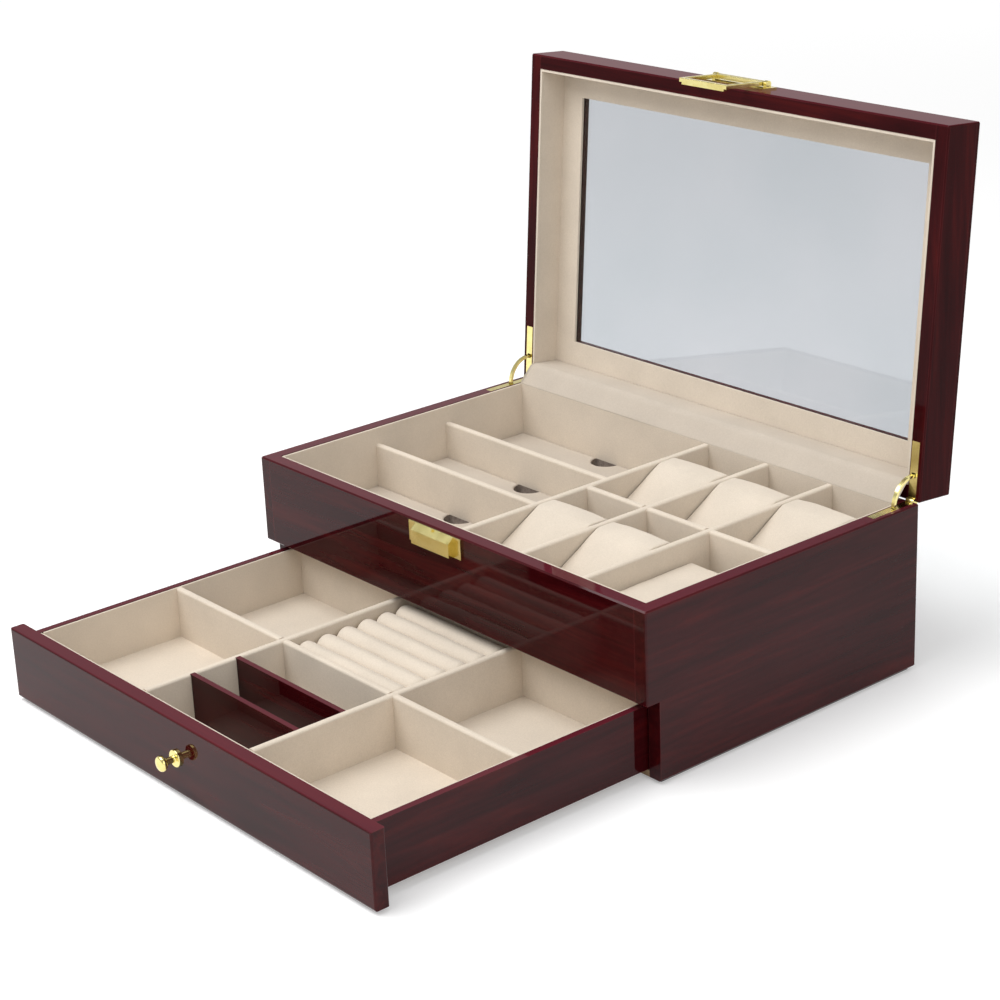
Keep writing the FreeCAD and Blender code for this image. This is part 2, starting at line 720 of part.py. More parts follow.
def tray():
    tray_lining()
    middle = "tray_front + glasses_front + divider"
    rear = f"{middle} + glasses_middle + divider"
    glasses_pad(1, "tray_front", "glasses_front", "pad - front_pad_sink")
    glasses_pad(2, middle, "glasses_middle")
    glasses_pad(3, rear, "(glasses_back)")
    wall_high = "rim - glasses_wall_drop - deck_top"
    for number, y in ((1, f"{middle} - divider"), (2, f"{rear} - divider")):
        low_wall = soft_board(f"glasses_wall_{number}", "glasses_length", "divider",
                              wall_high, top_along_x)
        place(low_wall, "tray_left", y, "deck_top")
        keep(low_wall, f"glasses_wall_{number}")
    long_one = soft_board("long_divider", "divider", "tray_depth", "tray_top - deck_top",
                          top_along_y)
    place(long_one, "tray_left + glasses_length", "tray_front", "deck_top")
    keep(long_one, "long_divider")
    plain("watch_floor", "watch_width", "tray_depth", "pad",
          "watch_left", "tray_front", "deck_top")
    high = "(tray_top - tray_floor)"
    steps = ["watch_cell", "2 * watch_cell + divider"]
    cross = row("watch_row_divider", "watch_width", high, steps)
    place(cross, "watch_left", "tray_front + watch_front", "tray_floor")
    keep(cross, "watch_row_divider")
    for number, step in enumerate(steps, start=1):
        name = f"watch_column_divider_{number}"
        upright_one = column(name, "tray_depth", high, "watch_front")
        place(upright_one, f"watch_left + {step}", "tray_front", "tray_floor")
        keep(upright_one, name)
    pitch = "(watch_cell + divider)"
    back_row = "tray_front + watch_front + divider"
    cells = [(f"watch_left + {i} * {pitch}", y) for y in ("tray_front", back_row)
             for i in range(3)]
    front_right = cells.pop(2)
    for number, (x, y) in enumerate(cells, start=1):
        watch_pillow(number, x, y)
    flat_pillow(*front_right)


tray()


# ---------------------------------------------------------------- catch on the case
def catch():
    """A plate on the case front with the bevelled hook that the bail drops over."""
    body = new_body("catch")
    plate = sketch_on(body, "catch_plan", "XZ_Plane")
    rectangle(plate, "-catch_width / 2", "0", "catch_width / 2", "catch_tall")
    pad(body, "catch_back", plate, "catch_plate")
    hook = sketch_on(body, "catch_hook_profile", "YZ_Plane")
    top = "catch_tall"
    polygon(hook, [("0", "0"), ("-(hook_out - edge_round / 2)", "0"),
                   ("-hook_out", "edge_round / 2"), ("-hook_out", f"{top} - hook_bevel"),
                   ("-catch_plate", top), ("0", top)])
    pad(body, "catch_hook", hook, "hook_width", middle=True)
    nick = sketch_on(body, "catch_nick_plan", "XY_Plane", top)
    rectangle(nick, "-catch_plate", "-2 * hook_out", "catch_plate", "-catch_plate")
    pocket(body, "catch_nick", nick, "nick_deep")
    place(body, "0", "-half_depth", "catch_low")
    keep(body, "catch")


catch()
for side_name, side in LEFT_AND_RIGHT:
    plate = leaf(f"case_leaf_{side_name}", False, "hinge_pin")
    place(plate, f"{side} * hinge_middle", "half_depth", "rim")
    drilled = cut(f"case_leaf_drilled_{side_name}", plate, in_case[side_name])
    keep(drilled, f"case_hinge_leaf_{side_name}")
    stay(f"hinge_stay_{side_name}", side)


def flap():
    """The cloth that bridges the gap between the tray's lining and the lid's."""
    body = new_body("hinge_flap")
    strip = sketch_on(body, "hinge_flap_strip", "XY_Plane")
    reach = "(tray_width / 2 - flap_room)"
    rectangle(strip, f"-{reach}", "-flap_radius", reach, "-(flap_radius - flap_cloth)")
    bend = body.newObject("PartDesign::Revolution", "hinge_flap_bend")
    bend.Profile = strip
    bend.ReferenceAxis = (strip, ["H_Axis"])
    bend.Midplane = True
    bind(bend, Angle="lid_open + 2 * flap_lap")
    doc.recompute()
    body.Placement = Placement(Vector(0, 0, 0), Rotation(Vector(-1, 0, 0), 45))
    bind(body, **{"Placement.Rotation.Angle": "lid_open / 2"})
    place(body, "0", "half_depth", "rim")
    keep(body, "hinge_flap")


flap()


# ---------------------------------------------------------------- drawer
def knob_profile(sketch):
    polygon(sketch, [
        ("0", "knob_sunk"), ("knob_stud", "knob_sunk"), ("knob_stud", "0"),
        ("knob_collar_radius", "0"), ("knob_collar_radius", "-knob_collar"),
        ("knob_neck", "-knob_collar"), ("knob_neck", "-(knob_out - knob_head)"),
        ("knob_head_radius", "-(knob_out - knob_head)"),
        ("knob_head_radius", "-(knob_out - knob_dome)"), ("knob_face", "-knob_out"),
        ("0", "-knob_out"),
    ])


def drawer_knob():
    """A turned knob on a stud, its collar flat on the drawer front."""
    body = new_body("drawer_knob")
    sketch = sketch_on(body, "drawer_knob_half", "XY_Plane")
    knob_profile(sketch)
    turned = body.newObject("PartDesign::Revolution", "drawer_knob_turned")
    turned.Profile = sketch
    turned.ReferenceAxis = (sketch, ["V_Axis"])
    turned.Angle = 360
    doc.recompute()
    place(body, "0", "drawer_face", "felt + knob_up")
    keep(body, "drawer_knob")


def drawer_front():
    """The full width front with a blind hole for the knob's stud."""
    body, solid = board("drawer_front", "case_width", "wall", "front_height")

    def outside(edge, box):
        front = near(edge.YMin, box.YMin) and near(edge.YMax, box.YMin)
        ends = near(edge.XLength, 0) and near(edge.YLength, 0)
        return front or ends

    fillet(body, "drawer_front_rounded", solid, "edge_round", outside)
    seat = sketch_on(body, "drawer_front_seat", "XZ_Plane")
    circle(seat, "half_width", "knob_up - front_clear", "knob_stud")
    pocket(body, "drawer_front_hole", seat, "knob_sunk")
    place(body, "-half_width", "drawer_face", "felt + front_clear")
    keep(body, "drawer_front")


def drawer_side(side_name, side):
    """A side with the groove that holds the floor board."""
    name = f"drawer_side_{side_name}"
    body = new_body(name)
    section = sketch_on(body, f"{name}_section", "XZ_Plane")
    rectangle(section, "0", "0", "drawer_board", "box_high")
    pad(body, f"{name}_board", section, "box_length", back=True)
    slot = sketch_on(body, f"{name}_slot", "XZ_Plane")
    inner = ("drawer_board - groove_deep", "drawer_board") if side < 0 else ("0", "groove_deep")
    rectangle(slot, inner[0], "groove_lift", inner[1], "groove_lift + drawer_floor")
    pocket(body, f"{name}_groove", slot, "box_length")
    place(body, "-box_half" if side < 0 else "box_half - drawer_board", "box_front", "box_low")
    keep(body, name)


def drawer_lining():
    """The covered card on the drawer's sides and back."""
    body = new_body("drawer_lining")
    sketch = sketch_on(body, "drawer_lining_plan", "XY_Plane")
    wide = "(cells_width + 2 * drawer_lining)"
    deep = "(cells_depth + drawer_lining)"
    polygon(sketch, [("0", "0"), ("0", deep), (wide, deep), (wide, "0"),
                     ("drawer_lining + cells_width", "0"),
                     ("drawer_lining + cells_width", "cells_depth"),
                     ("drawer_lining", "cells_depth"), ("drawer_lining", "0")])
    pad(body, "drawer_lining_wall", sketch, "box_top - lining_drop - floor_low - drawer_floor")
    place(body, "cells_left - drawer_lining", "cells_front", "floor_low + drawer_floor")
    keep(body, "drawer_lining")


def slot_low(number):
    """Front of the groove for a lacquered board, from the front of its cell."""
    return f"({number} * drawer_front_cell / 3 - slot_board / 2 - slot_clear)"


def slot_high(number):
    return f"({number} * drawer_front_cell / 3 + slot_board / 2 + slot_clear)"


def ring_cushion(x, y):
    """Rolls side by side on a foam bed: rings stand in the nips between them."""
    body = new_body("ring_cushion")
    bed = sketch_on(body, "ring_cushion_bed_plan", "XY_Plane")
    inset = "roll_split / 2"
    long = "(drawer_middle_cell - 2 * roll_end_gap)"
    rectangle(bed, "0", inset, long, f"drawer_back_cell - {inset}")
    pad(body, "ring_cushion_bed", bed, "ring_bed + roll_radius")
    ends = sketch_on(body, "ring_cushion_ends", "YZ_Plane")
    for number in range(ROLLS):
        circle(ends, f"({number} + 0.5) * roll_pitch", "ring_bed + roll_radius", "roll_radius")
    pad(body, "ring_cushion_rolls", ends, long)
    place(body, f"{x} + roll_end_gap", y, "carpet_top")
    keep(body, "ring_cushion")


def drawer():
    drawer_front()
    drawer_knob()
    for side_name, side in LEFT_AND_RIGHT:
        drawer_side(side_name, side)
    between = "2 * box_half - 2 * drawer_board"
    floor_top = "floor_low + drawer_floor"
    plain("drawer_floor", f"{between} + 2 * groove_deep", "box_length", "drawer_floor",
          "-box_half + drawer_board - groove_deep", "box_front", "floor_low")
    plain("drawer_back", between, "drawer_board", f"box_top - ({floor_top})",
          "-box_half + drawer_board", "box_front + box_length - drawer_board", floor_top)
    inner = soft_board("drawer_inner_front", between, "drawer_inner_front",
                       f"box_top - lining_drop - ({floor_top})", top_along_x)
    place(inner, "-box_half + drawer_board", "box_front", floor_top)
    keep(inner, "drawer_inner_front")
    drawer_lining()
    plain("drawer_floor_lining", "cells_width", "cells_depth", "drawer_carpet",
          "cells_left", "cells_front", floor_top)
    steps = ["drawer_left_cell", "drawer_left_cell + divider + drawer_middle_cell"]
    cross = row("drawer_row_divider", "cells_width", "cell_high", steps)
    place(cross, "cells_left", "cells_front + drawer_front_cell", "carpet_top")
    keep(cross, "drawer_row_divider")
    for number, step in enumerate(steps, start=1):
        name = f"drawer_column_divider_{number}"
        upright_one = column(name, "cells_depth", "cell_high", "drawer_front_cell")
        faces = ("divider - slot_deep", "divider") if number == 1 else ("0", "slot_deep")
        grooves = sketch_on(upright_one, f"{name}_grooves", "XY_Plane")
        for slot in (1, 2):
            rectangle(grooves, faces[0], slot_low(slot), faces[1], slot_high(slot))
        pocket(upright_one, f"{name}_slots", grooves, "cell_high", back=True)
        place(upright_one, f"cells_left + {step}", "cells_front", "carpet_top")
        keep(upright_one, name)
    for number in (1, 2):
        plain(f"slot_board_{number}", "drawer_middle_cell + 2 * slot_deep - 2 * slot_clear",
              "slot_board", "cell_high", "middle_cells - slot_deep + slot_clear",
              f"cells_front + {slot_low(number)} + slot_clear", "carpet_top")
    ring_cushion("middle_cells", "cells_front + drawer_front_cell + divider")


drawer()


# ---------------------------------------------------------------- lid
def lid_side_rail(side_name, side):
    name = f"lid_rail_{side_name}"
    body = new_body(f"{name}_board")
    sketch = sketch_on(body, f"{name}_profile", "YZ_Plane")
    rectangle(sketch, "-case_depth", "lid_gap", "0", "lid_side_high")
    rail = pad(body, f"{name}_pad", sketch, "wall", back=side > 0)

    def corner(edge, box):
        return in_face(edge) and upright(edge, box)

    def foot(edge, box):
        at_foot = near(edge.ZMin, box.ZMin) and near(edge.ZMax, box.ZMin)
        return at_foot and ((in_face(edge) and along_y(edge)) or end_across(edge, box))

    rounded = fillet(body, f"{name}_rounded", rail, "edge_round", corner)
    bevel(body, f"{name}_bevelled", rounded, "edge_bevel", foot)
    in_lid(body, f"{side} * half_width")
    hinge = mortise(f"{name}_mortise")
    in_lid(hinge, f"{side} * hinge_middle")
    tool = fuse(f"{name}_tool", [hinge, up_in_lid[side_name]])
    keep(cut(f"{name}_cut", body, tool), name)


def lid_cross_rail(name, outer, y):
    """The front or rear rail of the lid, between the side rails."""
    body, solid = board(name, "inner_width", "wall", "lid_side_high - lid_gap")

    def outside(edge, box):
        face = box.YMin if outer < 0 else box.YMax
        return along_x(edge, box) and near(edge.YMin, face) and near(edge.ZMin, box.ZMin)

    bevel(body, f"{name}_bevelled", solid, "edge_bevel", outside)
    in_lid(body, "-inner_width / 2", y, "lid_gap")
    keep(body, name)


def window(sketch):
    rectangle(sketch, "-(half_width - window_side)", "window_end",
              "half_width - window_side", "case_depth - window_end")


def lid_top_panel():
    """The frame shaped top board that the window is cut through."""
    body = new_body("lid_top_panel")
    outline = sketch_on(body, "lid_top_outline", "XY_Plane")
    rectangle(outline, "-half_width", "0", "half_width", "case_depth")
    slab = pad(body, "lid_top_board", outline, "lid_top")

    rounded = fillet(body, "lid_top_rounded", slab, "edge_round", upright)
    bevel(body, "lid_top_bevelled", rounded, "edge_bevel",
          lambda edge, box: near(edge.ZMin, box.ZMax))
    opening = sketch_on(body, "lid_top_opening", "XY_Plane")
    window(opening)
    pocket(body, "lid_top_window", opening, "lid_top", back=True)
    in_lid(body, "0", "-case_depth", "lid_side_high")
    keep(body, "lid_top_panel")


def window_frame():
    """The velvet covered frame that holds the glass in a rebate."""
    body = new_body("lid_window_frame")
    outline = sketch_on(body, "window_frame_outline", "XY_Plane")
    rectangle(outline, "-inner_width / 2", "wall", "inner_width / 2", "case_depth - wall")
    slab = pad(body, "window_frame_board", outline, "window_frame")
    opening = sketch_on(body, "window_frame_opening", "XY_Plane")
    window(opening)
    pocket(body, "window_frame_window", opening, "window_frame", back=True)
    rebate = sketch_on(body, "window_frame_rebate_plan", "XY_Plane", "window_frame")
    rectangle(rebate, "-pane_width / 2", "window_end - glass_hold",
              "pane_width / 2", "case_depth - window_end + glass_hold")
    pocket(body, "window_frame_rebate", rebate, "glass")
    in_lid(body, "0", "-case_depth", "lid_lining_high")
    keep(body, "lid_window_frame")


def lid_glass():
    body, solid = board("lid_glass", "pane_width - 2 * glass_clear",
                        "pane_depth - 2 * glass_clear", "glass")
    in_lid(body, "-(pane_width / 2 - glass_clear)",
           "-(case_depth - window_end + glass_hold - glass_clear)", "lid_side_high - glass")
    keep(body, "lid_glass")


def lid_lining():
    body = frame_ring("lid_lining", "inner_width", "inner_depth", "tray_width", "tray_depth",
                      "lid_lining_high - lining_drop")
    in_lid(body, "0", "-half_depth", "lining_drop")
    keep(body, "lid_lining")


def lid_leaf(side_name, side):
    """The other leaf of the hinge, turned over so that it faces the case leaf."""
    plate = leaf(f"lid_leaf_{side_name}", True, "hinge_pin + running_fit")
    plate.Placement = Placement(Vector(0, 0, 0), Rotation(Vector(0, 1, 0), 180))
    flipped = doc.addObject("Part::Compound", f"lid_leaf_flipped_{side_name}")
    flipped.Links = [plate]
    in_lid(flipped, f"{side} * hinge_middle")
    drilled = cut(f"lid_leaf_drilled_{side_name}", flipped, up_in_lid[side_name])
    keep(drilled, f"lid_hinge_leaf_{side_name}")


def clasp_base():
    """The plate on the lid front with the two ears that the bail hangs in."""
    body = new_body("clasp_base")
    plate = sketch_on(body, "clasp_plate_plan", "XZ_Plane")
    rectangle(plate, "-clasp_width / 2", "clasp_low", "clasp_width / 2",
              "clasp_low + clasp_tall")
    pad(body, "clasp_plate", plate, "clasp_plate")
    web = sketch_on(body, "clasp_ear_web", "YZ_Plane")
    rectangle(web, "-bail_axis_out", "bail_axis_up - ear_round", "0",
              "bail_axis_up + ear_round")
    pad(body, "clasp_webs", web, "2 * (ear_inner + ear)", middle=True)
    eye = sketch_on(body, "clasp_ear_eye", "YZ_Plane")
    circle(eye, "-bail_axis_out", "bail_axis_up", "ear_round")
    pad(body, "clasp_ears", eye, "2 * (ear_inner + ear)", middle=True)
    gap = sketch_on(body, "clasp_gap_plan", "XZ_Plane", "clasp_plate")
    rectangle(gap, "-ear_inner", "0", "ear_inner", "clasp_low + 2 * clasp_tall")
    pocket(body, "clasp_gap", gap, "3 * bail_axis_out", back=True)
    hole = sketch_on(body, "clasp_hole_plan", "YZ_Plane")
    circle(hole, "-bail_axis_out", "bail_axis_up", "trunnion + running_fit")
    pocket(body, "clasp_holes", hole, "2 * clasp_width", middle=True)
    in_lid(body, "0", "-case_depth")
    keep(body, "clasp_base")


def clasp_bail():
    """The swinging bail, drawn hanging from its axis with its front bar below."""
    body = new_body("clasp_bail")
    loop = sketch_on(body, "bail_loop", "XZ_Plane", "bail_skin")
    bar_top = "-(bail_reach - bail_bar)"
    rectangle(loop, "-bail_width / 2", "-bail_reach", "bail_width / 2", "0")
    rectangle(loop, "-(bail_width / 2 - bail_side)", bar_top,
              "bail_width / 2 - bail_side", "-bail_bar")
    frame = pad(body, "bail_frame", loop, "bail_skin + bail_back", back=True)
    fillet(body, "bail_frame_soft", frame, "bail_round",
           lambda edge, box: near(edge.YMin, box.YMin) and near(edge.YMax, box.YMin)
           and not near(edge.ZMin, box.ZMax))
    lip = sketch_on(body, "bail_lip_plan", "XZ_Plane")
    rectangle(lip, "-(bail_width / 2 - bail_side)", "-bail_reach",
              "bail_width / 2 - bail_side", bar_top)
    pad(body, "bail_front_lip", lip, "bail_lip", back=True)
    barrel = sketch_on(body, "bail_barrel_end", "YZ_Plane")
    circle(barrel, "0", "0", "barrel")
    pad(body, "bail_barrel", barrel, "bail_width", middle=True)
    ends = sketch_on(body, "bail_trunnion_end", "YZ_Plane")
    circle(ends, "0", "0", "trunnion")
    pad(body, "bail_trunnions", ends, "2 * (ear_inner + ear)", middle=True)
    in_lid(body, "0", "-(case_depth + bail_axis_out)", "bail_axis_up")
    keep(body, "clasp_bail")


def lid():
    for side_name, side in LEFT_AND_RIGHT:
        lid_side_rail(side_name, side)
        lid_leaf(side_name, side)
    lid_cross_rail("lid_rail_front", -1, "-case_depth")
    lid_cross_rail("lid_rail_rear", 1, "-wall")
    lid_top_panel()
    window_frame()
    lid_glass()
    lid_lining()
    clasp_base()
    clasp_bail()


lid()


# ---------------------------------------------------------------- check and write
doc.recompute()
for item in doc.Objects:
    if "Invalid" in item.State or "Error" in item.State:
        raise RuntimeError(f"{item.Name} did not build: {item.State}")
for item in nodes:
    if item.Shape.isNull() or not item.Shape.isValid():
        raise RuntimeError(f"{item.Label} is not a sound shape")
os.makedirs("parts", exist_ok=True)
for item in nodes:
    item.Shape.exportStep(f"parts/{item.Label}.step")
print(len(nodes), "parts written")
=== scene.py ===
import json
import math

import bmesh
import bpy
from mathutils import Matrix, Vector, geometry, noise


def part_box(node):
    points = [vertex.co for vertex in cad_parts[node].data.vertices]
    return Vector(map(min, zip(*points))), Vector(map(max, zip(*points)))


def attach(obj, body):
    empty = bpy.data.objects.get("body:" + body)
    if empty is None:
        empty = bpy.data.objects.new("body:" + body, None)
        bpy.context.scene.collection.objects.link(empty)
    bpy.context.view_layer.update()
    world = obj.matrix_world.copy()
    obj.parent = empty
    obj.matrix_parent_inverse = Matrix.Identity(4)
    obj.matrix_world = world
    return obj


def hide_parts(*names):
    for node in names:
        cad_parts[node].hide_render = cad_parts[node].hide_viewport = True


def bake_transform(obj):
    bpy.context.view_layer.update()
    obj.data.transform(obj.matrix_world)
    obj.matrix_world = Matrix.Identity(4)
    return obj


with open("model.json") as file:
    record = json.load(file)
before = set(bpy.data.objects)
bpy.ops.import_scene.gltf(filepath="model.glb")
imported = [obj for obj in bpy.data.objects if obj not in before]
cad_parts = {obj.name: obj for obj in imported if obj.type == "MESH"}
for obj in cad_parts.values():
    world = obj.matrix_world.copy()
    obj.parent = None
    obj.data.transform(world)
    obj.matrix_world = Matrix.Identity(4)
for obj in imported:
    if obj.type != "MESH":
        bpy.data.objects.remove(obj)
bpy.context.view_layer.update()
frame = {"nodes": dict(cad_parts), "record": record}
MM = 0.001

# ---------------------------------------------------------------- camera and light
CAMERA_PLACE = (0.96007, -0.85112, 0.5795)
CAMERA_AZIMUTH = 50.4
CAMERA_DOWN = 20.95
CAMERA_ROLL = -2.46
CAMERA_LENS = 86.49
SENSOR = 36
LAMP_TARGET = Vector((0, 0, 0.1))


def add_camera():
    """The camera looks back and to the left, down on the open box."""
    turn, down, roll = (math.radians(a) for a in (CAMERA_AZIMUTH, CAMERA_DOWN, CAMERA_ROLL))
    ahead = Vector((-math.sin(turn) * math.cos(down), math.cos(turn) * math.cos(down),
                    -math.sin(down)))
    right = ahead.cross(Vector((0, 0, 1))).normalized()
    up = right.cross(ahead)
    rolled_right = right * math.cos(roll) + up * math.sin(roll)
    rolled_up = -right * math.sin(roll) + up * math.cos(roll)
    data = bpy.data.cameras.new("camera")
    data.lens = CAMERA_LENS
    data.sensor_width = SENSOR
    camera = bpy.data.objects.new("camera", data)
    pose = Matrix((rolled_right, rolled_up, -ahead)).transposed().to_4x4()
    pose.translation = CAMERA_PLACE
    camera.matrix_world = pose
    bpy.context.collection.objects.link(camera)
    bpy.context.scene.camera = camera


def add_lamp(name, place, size, watts):
    """A square soft lamp that points at the middle of the box."""
    data = bpy.data.lights.new(name, "AREA")
    data.size = size
    data.energy = watts
    lamp = bpy.data.objects.new(name, data)
    lamp.location = place
    lamp.rotation_euler = (LAMP_TARGET - Vector(place)).to_track_quat("-Z", "Y").to_euler()
    bpy.context.collection.objects.link(lamp)


def seen_white(tree):
    """1 on camera, glossy and transmission rays: what sees the white surroundings as such."""
    paths = tree.nodes.new("ShaderNodeLightPath")
    total = paths.outputs["Is Camera Ray"]
    for ray in ("Is Glossy Ray", "Is Transmission Ray"):
        total = combined(tree, "MAXIMUM", total, paths.outputs[ray])
    return total


WORLD_FILL = 0.52
HORIZON_SEEN = 1.0
CEILING_SEEN = 0.45
CEILING_FROM = (0.14, 0.42)


def light_world():
    """White round the horizon and darker overhead where it is seen; one even fill for the rest."""
    world = bpy.data.worlds.new("studio")
    bpy.context.scene.world = world
    world.use_nodes = True
    tree = world.node_tree
    background = tree.nodes["Background"]
    background.inputs["Color"].default_value = WHITE
    direction = tree.nodes.new("ShaderNodeTexCoord")
    height = up_part(tree, direction.outputs["Generated"])
    dome = mapped(tree, height, CEILING_FROM, (HORIZON_SEEN, CEILING_SEEN), smooth=True)
    level = mapped(tree, seen_white(tree), (0, 1), (WORLD_FILL, dome))
    tree.links.new(level, background.inputs["Strength"])


# ---------------------------------------------------------------- node helpers
WHITE = (1, 1, 1, 1)
PLAIN = (1, 1, 1)


def new_material(name):
    material = bpy.data.materials.new(name)
    material.use_nodes = True
    tree = material.node_tree
    return material, tree, tree.nodes["Principled BSDF"]


def set_inputs(node, values):
    for name, value in values.items():
        node.inputs[name].default_value = value


def stretched(tree, scale=PLAIN):
    """Object coordinates with each axis scaled, so that a noise runs along a board."""
    place = tree.nodes.new("ShaderNodeTexCoord")
    mapping = tree.nodes.new("ShaderNodeMapping")
    mapping.inputs["Scale"].default_value = scale
    tree.links.new(place.outputs["Object"], mapping.inputs["Vector"])
    return mapping.outputs["Vector"]


def noise_of(tree, vector, scale, detail=4, rough=0.55, distortion=0):
    texture = tree.nodes.new("ShaderNodeTexNoise")
    tree.links.new(vector, texture.inputs["Vector"])
    set_inputs(texture, {"Scale": scale, "Detail": detail, "Roughness": rough,
                         "Distortion": distortion})
    return texture.outputs["Fac"]


def ramp(tree, value, stops):
    """A colour ramp through stops of (place, colour)."""
    node = tree.nodes.new("ShaderNodeValToRGB")
    points = node.color_ramp.elements
    while len(points) < len(stops):
        points.new(0.5)
    for point, (place, colour) in zip(points, stops):
        point.position = place
        point.color = (*colour, 1)
    tree.links.new(value, node.inputs["Fac"])
    return node.outputs["Color"]


TWO_STOPS = (0.3, 0.7)


def two_tone(tree, value, dark, light, stops=TWO_STOPS):
    return ramp(tree, value, list(zip(stops, (dark, light))))


def put(tree, given, target):
    """Link a socket to an input, or set the input where a plain value is given."""
    if isinstance(given, bpy.types.NodeSocket):
        tree.links.new(given, target)
    else:
        target.default_value = given


def blended(tree, factor, first, second, kind="MIX"):
    node = tree.nodes.new("ShaderNodeMix")
    node.data_type = "RGBA"
    node.blend_type = kind
    node.clamp_factor = True
    for socket, given in (("Factor", factor), ("A", first), ("B", second)):
        put(tree, given, next(i for i in node.inputs if i.name == socket and i.enabled))
    return next(o for o in node.outputs if o.enabled)


def multiplied(tree, first, second):
    return blended(tree, 1.0, first, second, "MULTIPLY")


def bumped(tree, height, strength, distance, target):
    """A bump of the surface, read by one normal input of the shader."""
    node = tree.nodes.new("ShaderNodeBump")
    set_inputs(node, {"Strength": strength, "Distance": distance})
    tree.links.new(height, node.inputs["Height"])
    tree.links.new(node.outputs["Normal"], target)


def mapped(tree, value, given, wanted, smooth=False):
    """A value carried from one range to another. An end of a range may be a socket."""
    node = tree.nodes.new("ShaderNodeMapRange")
    if smooth:
        node.interpolation_type = "SMOOTHSTEP"
    tree.links.new(value, node.inputs["Value"])
    for socket, end in zip(("From Min", "From Max", "To Min", "To Max"), (*given, *wanted)):
        put(tree, end, node.inputs[socket])
    return node.outputs["Result"]


def combined(tree, kind, first, second):
    node = tree.nodes.new("ShaderNodeMath")
    node.operation = kind
    tree.links.new(first, node.inputs[0])
    tree.links.new(second, node.inputs[1])
    return node.outputs[0]


def up_part(tree, direction):
    """How far a direction points up."""
    split = tree.nodes.new("ShaderNodeSeparateXYZ")
    tree.links.new(direction, split.inputs["Vector"])
    return split.outputs["Z"]


EDGE_RADIUS = 0.9 * MM
EDGE_SAMPLES = 2
EDGE_BEND = (1, 0.8)
EDGE_PATCHES = 60


def edge_highlight_mask(tree):
    """0 on flat faces and up to 1 along the arrises, in uneven patches, where a painted highlight
    lights the edges.
    """
    soft = tree.nodes.new("ShaderNodeBevel")
    soft.samples = EDGE_SAMPLES
    soft.inputs["Radius"].default_value = EDGE_RADIUS
    true = tree.nodes.new("ShaderNodeNewGeometry")
    across = tree.nodes.new("ShaderNodeVectorMath")
    across.operation = "DOT_PRODUCT"
    tree.links.new(soft.outputs["Normal"], across.inputs[0])
    tree.links.new(true.outputs["True Normal"], across.inputs[1])
    bend = mapped(tree, across.outputs["Value"], EDGE_BEND, (0, 1))
    return combined(tree, "MULTIPLY", bend, noise_of(tree, stretched(tree), EDGE_PATCHES))


UPWARD = (0.6, 1)
TOP_LIGHT_SHARE = 0.5


def painted_top_light(tree):
    """Up to half on faces that look up: painted light that makes their lacquer lighter and redder.
    """
    way = tree.nodes.new("ShaderNodeNewGeometry")
    return mapped(tree, up_part(tree, way.outputs["Normal"]), UPWARD, (0, TOP_LIGHT_SHARE))


# ---------------------------------------------------------------- materials
GRAIN_STRETCH = 14
WOOD_STOPS = (
    (0.3, (0.022, 0.0012, 0.002)),
    (0.52, (0.041, 0.0024, 0.0036)),
    (0.74, (0.074, 0.005, 0.005)),
)
# Painted light: the lighter, redder lacquer colour laid on faces that look up.
PAINTED_TOP_LIGHT_WOOD = (0.15, 0.02, 0.034, 1)
# Painted highlight: the lighter lacquer colour laid along the arrises.
PAINTED_EDGE_HIGHLIGHT = (0.13, 0.022, 0.024, 1)
STREAKS = {"scale": 9, "detail": 8, "rough": 0.62, "distortion": 0.6}
CLOUDS = {"scale": 11, "detail": 3}
CLOUD_SHADE = (0.74, 0.74, 0.74)
RIPPLE = {"scale": 26, "detail": 2}
RIPPLE_BUMP = (0.05, 0.4 * MM)
LACQUER_INPUTS = {"Roughness": 0.5, "Specular IOR Level": 0, "Coat Roughness": 0.035,
                  "Coat IOR": 1.3}
CASE_GLOSS = 0.85
LID_GLOSS = 0.32


def lacquer(name, along, gloss):
    """High-gloss lacquer over rosewood grain that runs along one axis of the box."""
    material, tree, shader = new_material(name)
    scale = [GRAIN_STRETCH] * 3
    scale["xyz".index(along)] = 1
    streaks = noise_of(tree, stretched(tree, scale), **STREAKS)
    wood = ramp(tree, streaks, WOOD_STOPS)
    clouds = noise_of(tree, stretched(tree), **CLOUDS)
    colour = multiplied(tree, wood, two_tone(tree, clouds, CLOUD_SHADE, PLAIN))
    set_inputs(shader, LACQUER_INPUTS)
    shader.inputs["Coat Weight"].default_value = gloss
    # Painted highlight: faces that look up are blended towards a lighter lacquer colour.
    top_lit = blended(tree, painted_top_light(tree), colour, PAINTED_TOP_LIGHT_WOOD)
    # Painted highlight along the arrises, in uneven patches.
    edge_lit = blended(tree, edge_highlight_mask(tree), top_lit, PAINTED_EDGE_HIGHLIGHT)
    tree.links.new(edge_lit, shader.inputs["Base Color"])
    ripple = noise_of(tree, stretched(tree), **RIPPLE)
    bumped(tree, ripple, *RIPPLE_BUMP, shader.inputs["Coat Normal"])
    return material


MOTTLE = {"scale": 38, "detail": 3, "rough": 0.5}
MOTTLE_SHARES = (0.95, 1.03)
PILE = {"scale": 2600, "detail": 2, "rough": 0.7}
PILE_SHADE = (0.84, 0.84, 0.84)
PILE_STOPS = (0.25, 0.75)
PILE_BUMP = (0.35, 0.12 * MM)
WEAVE = {"scale": 900, "detail": 3, "rough": 0.7}
WEAVE_SHADE = (0.93, 0.92, 0.91)
VELVET_INPUTS = {"Roughness": 0.95, "Specular IOR Level": 0.12, "Sheen Weight": 0.25,
                 "Sheen Roughness": 0.45, "Sheen Tint": (1, 0.95, 0.88, 1)}


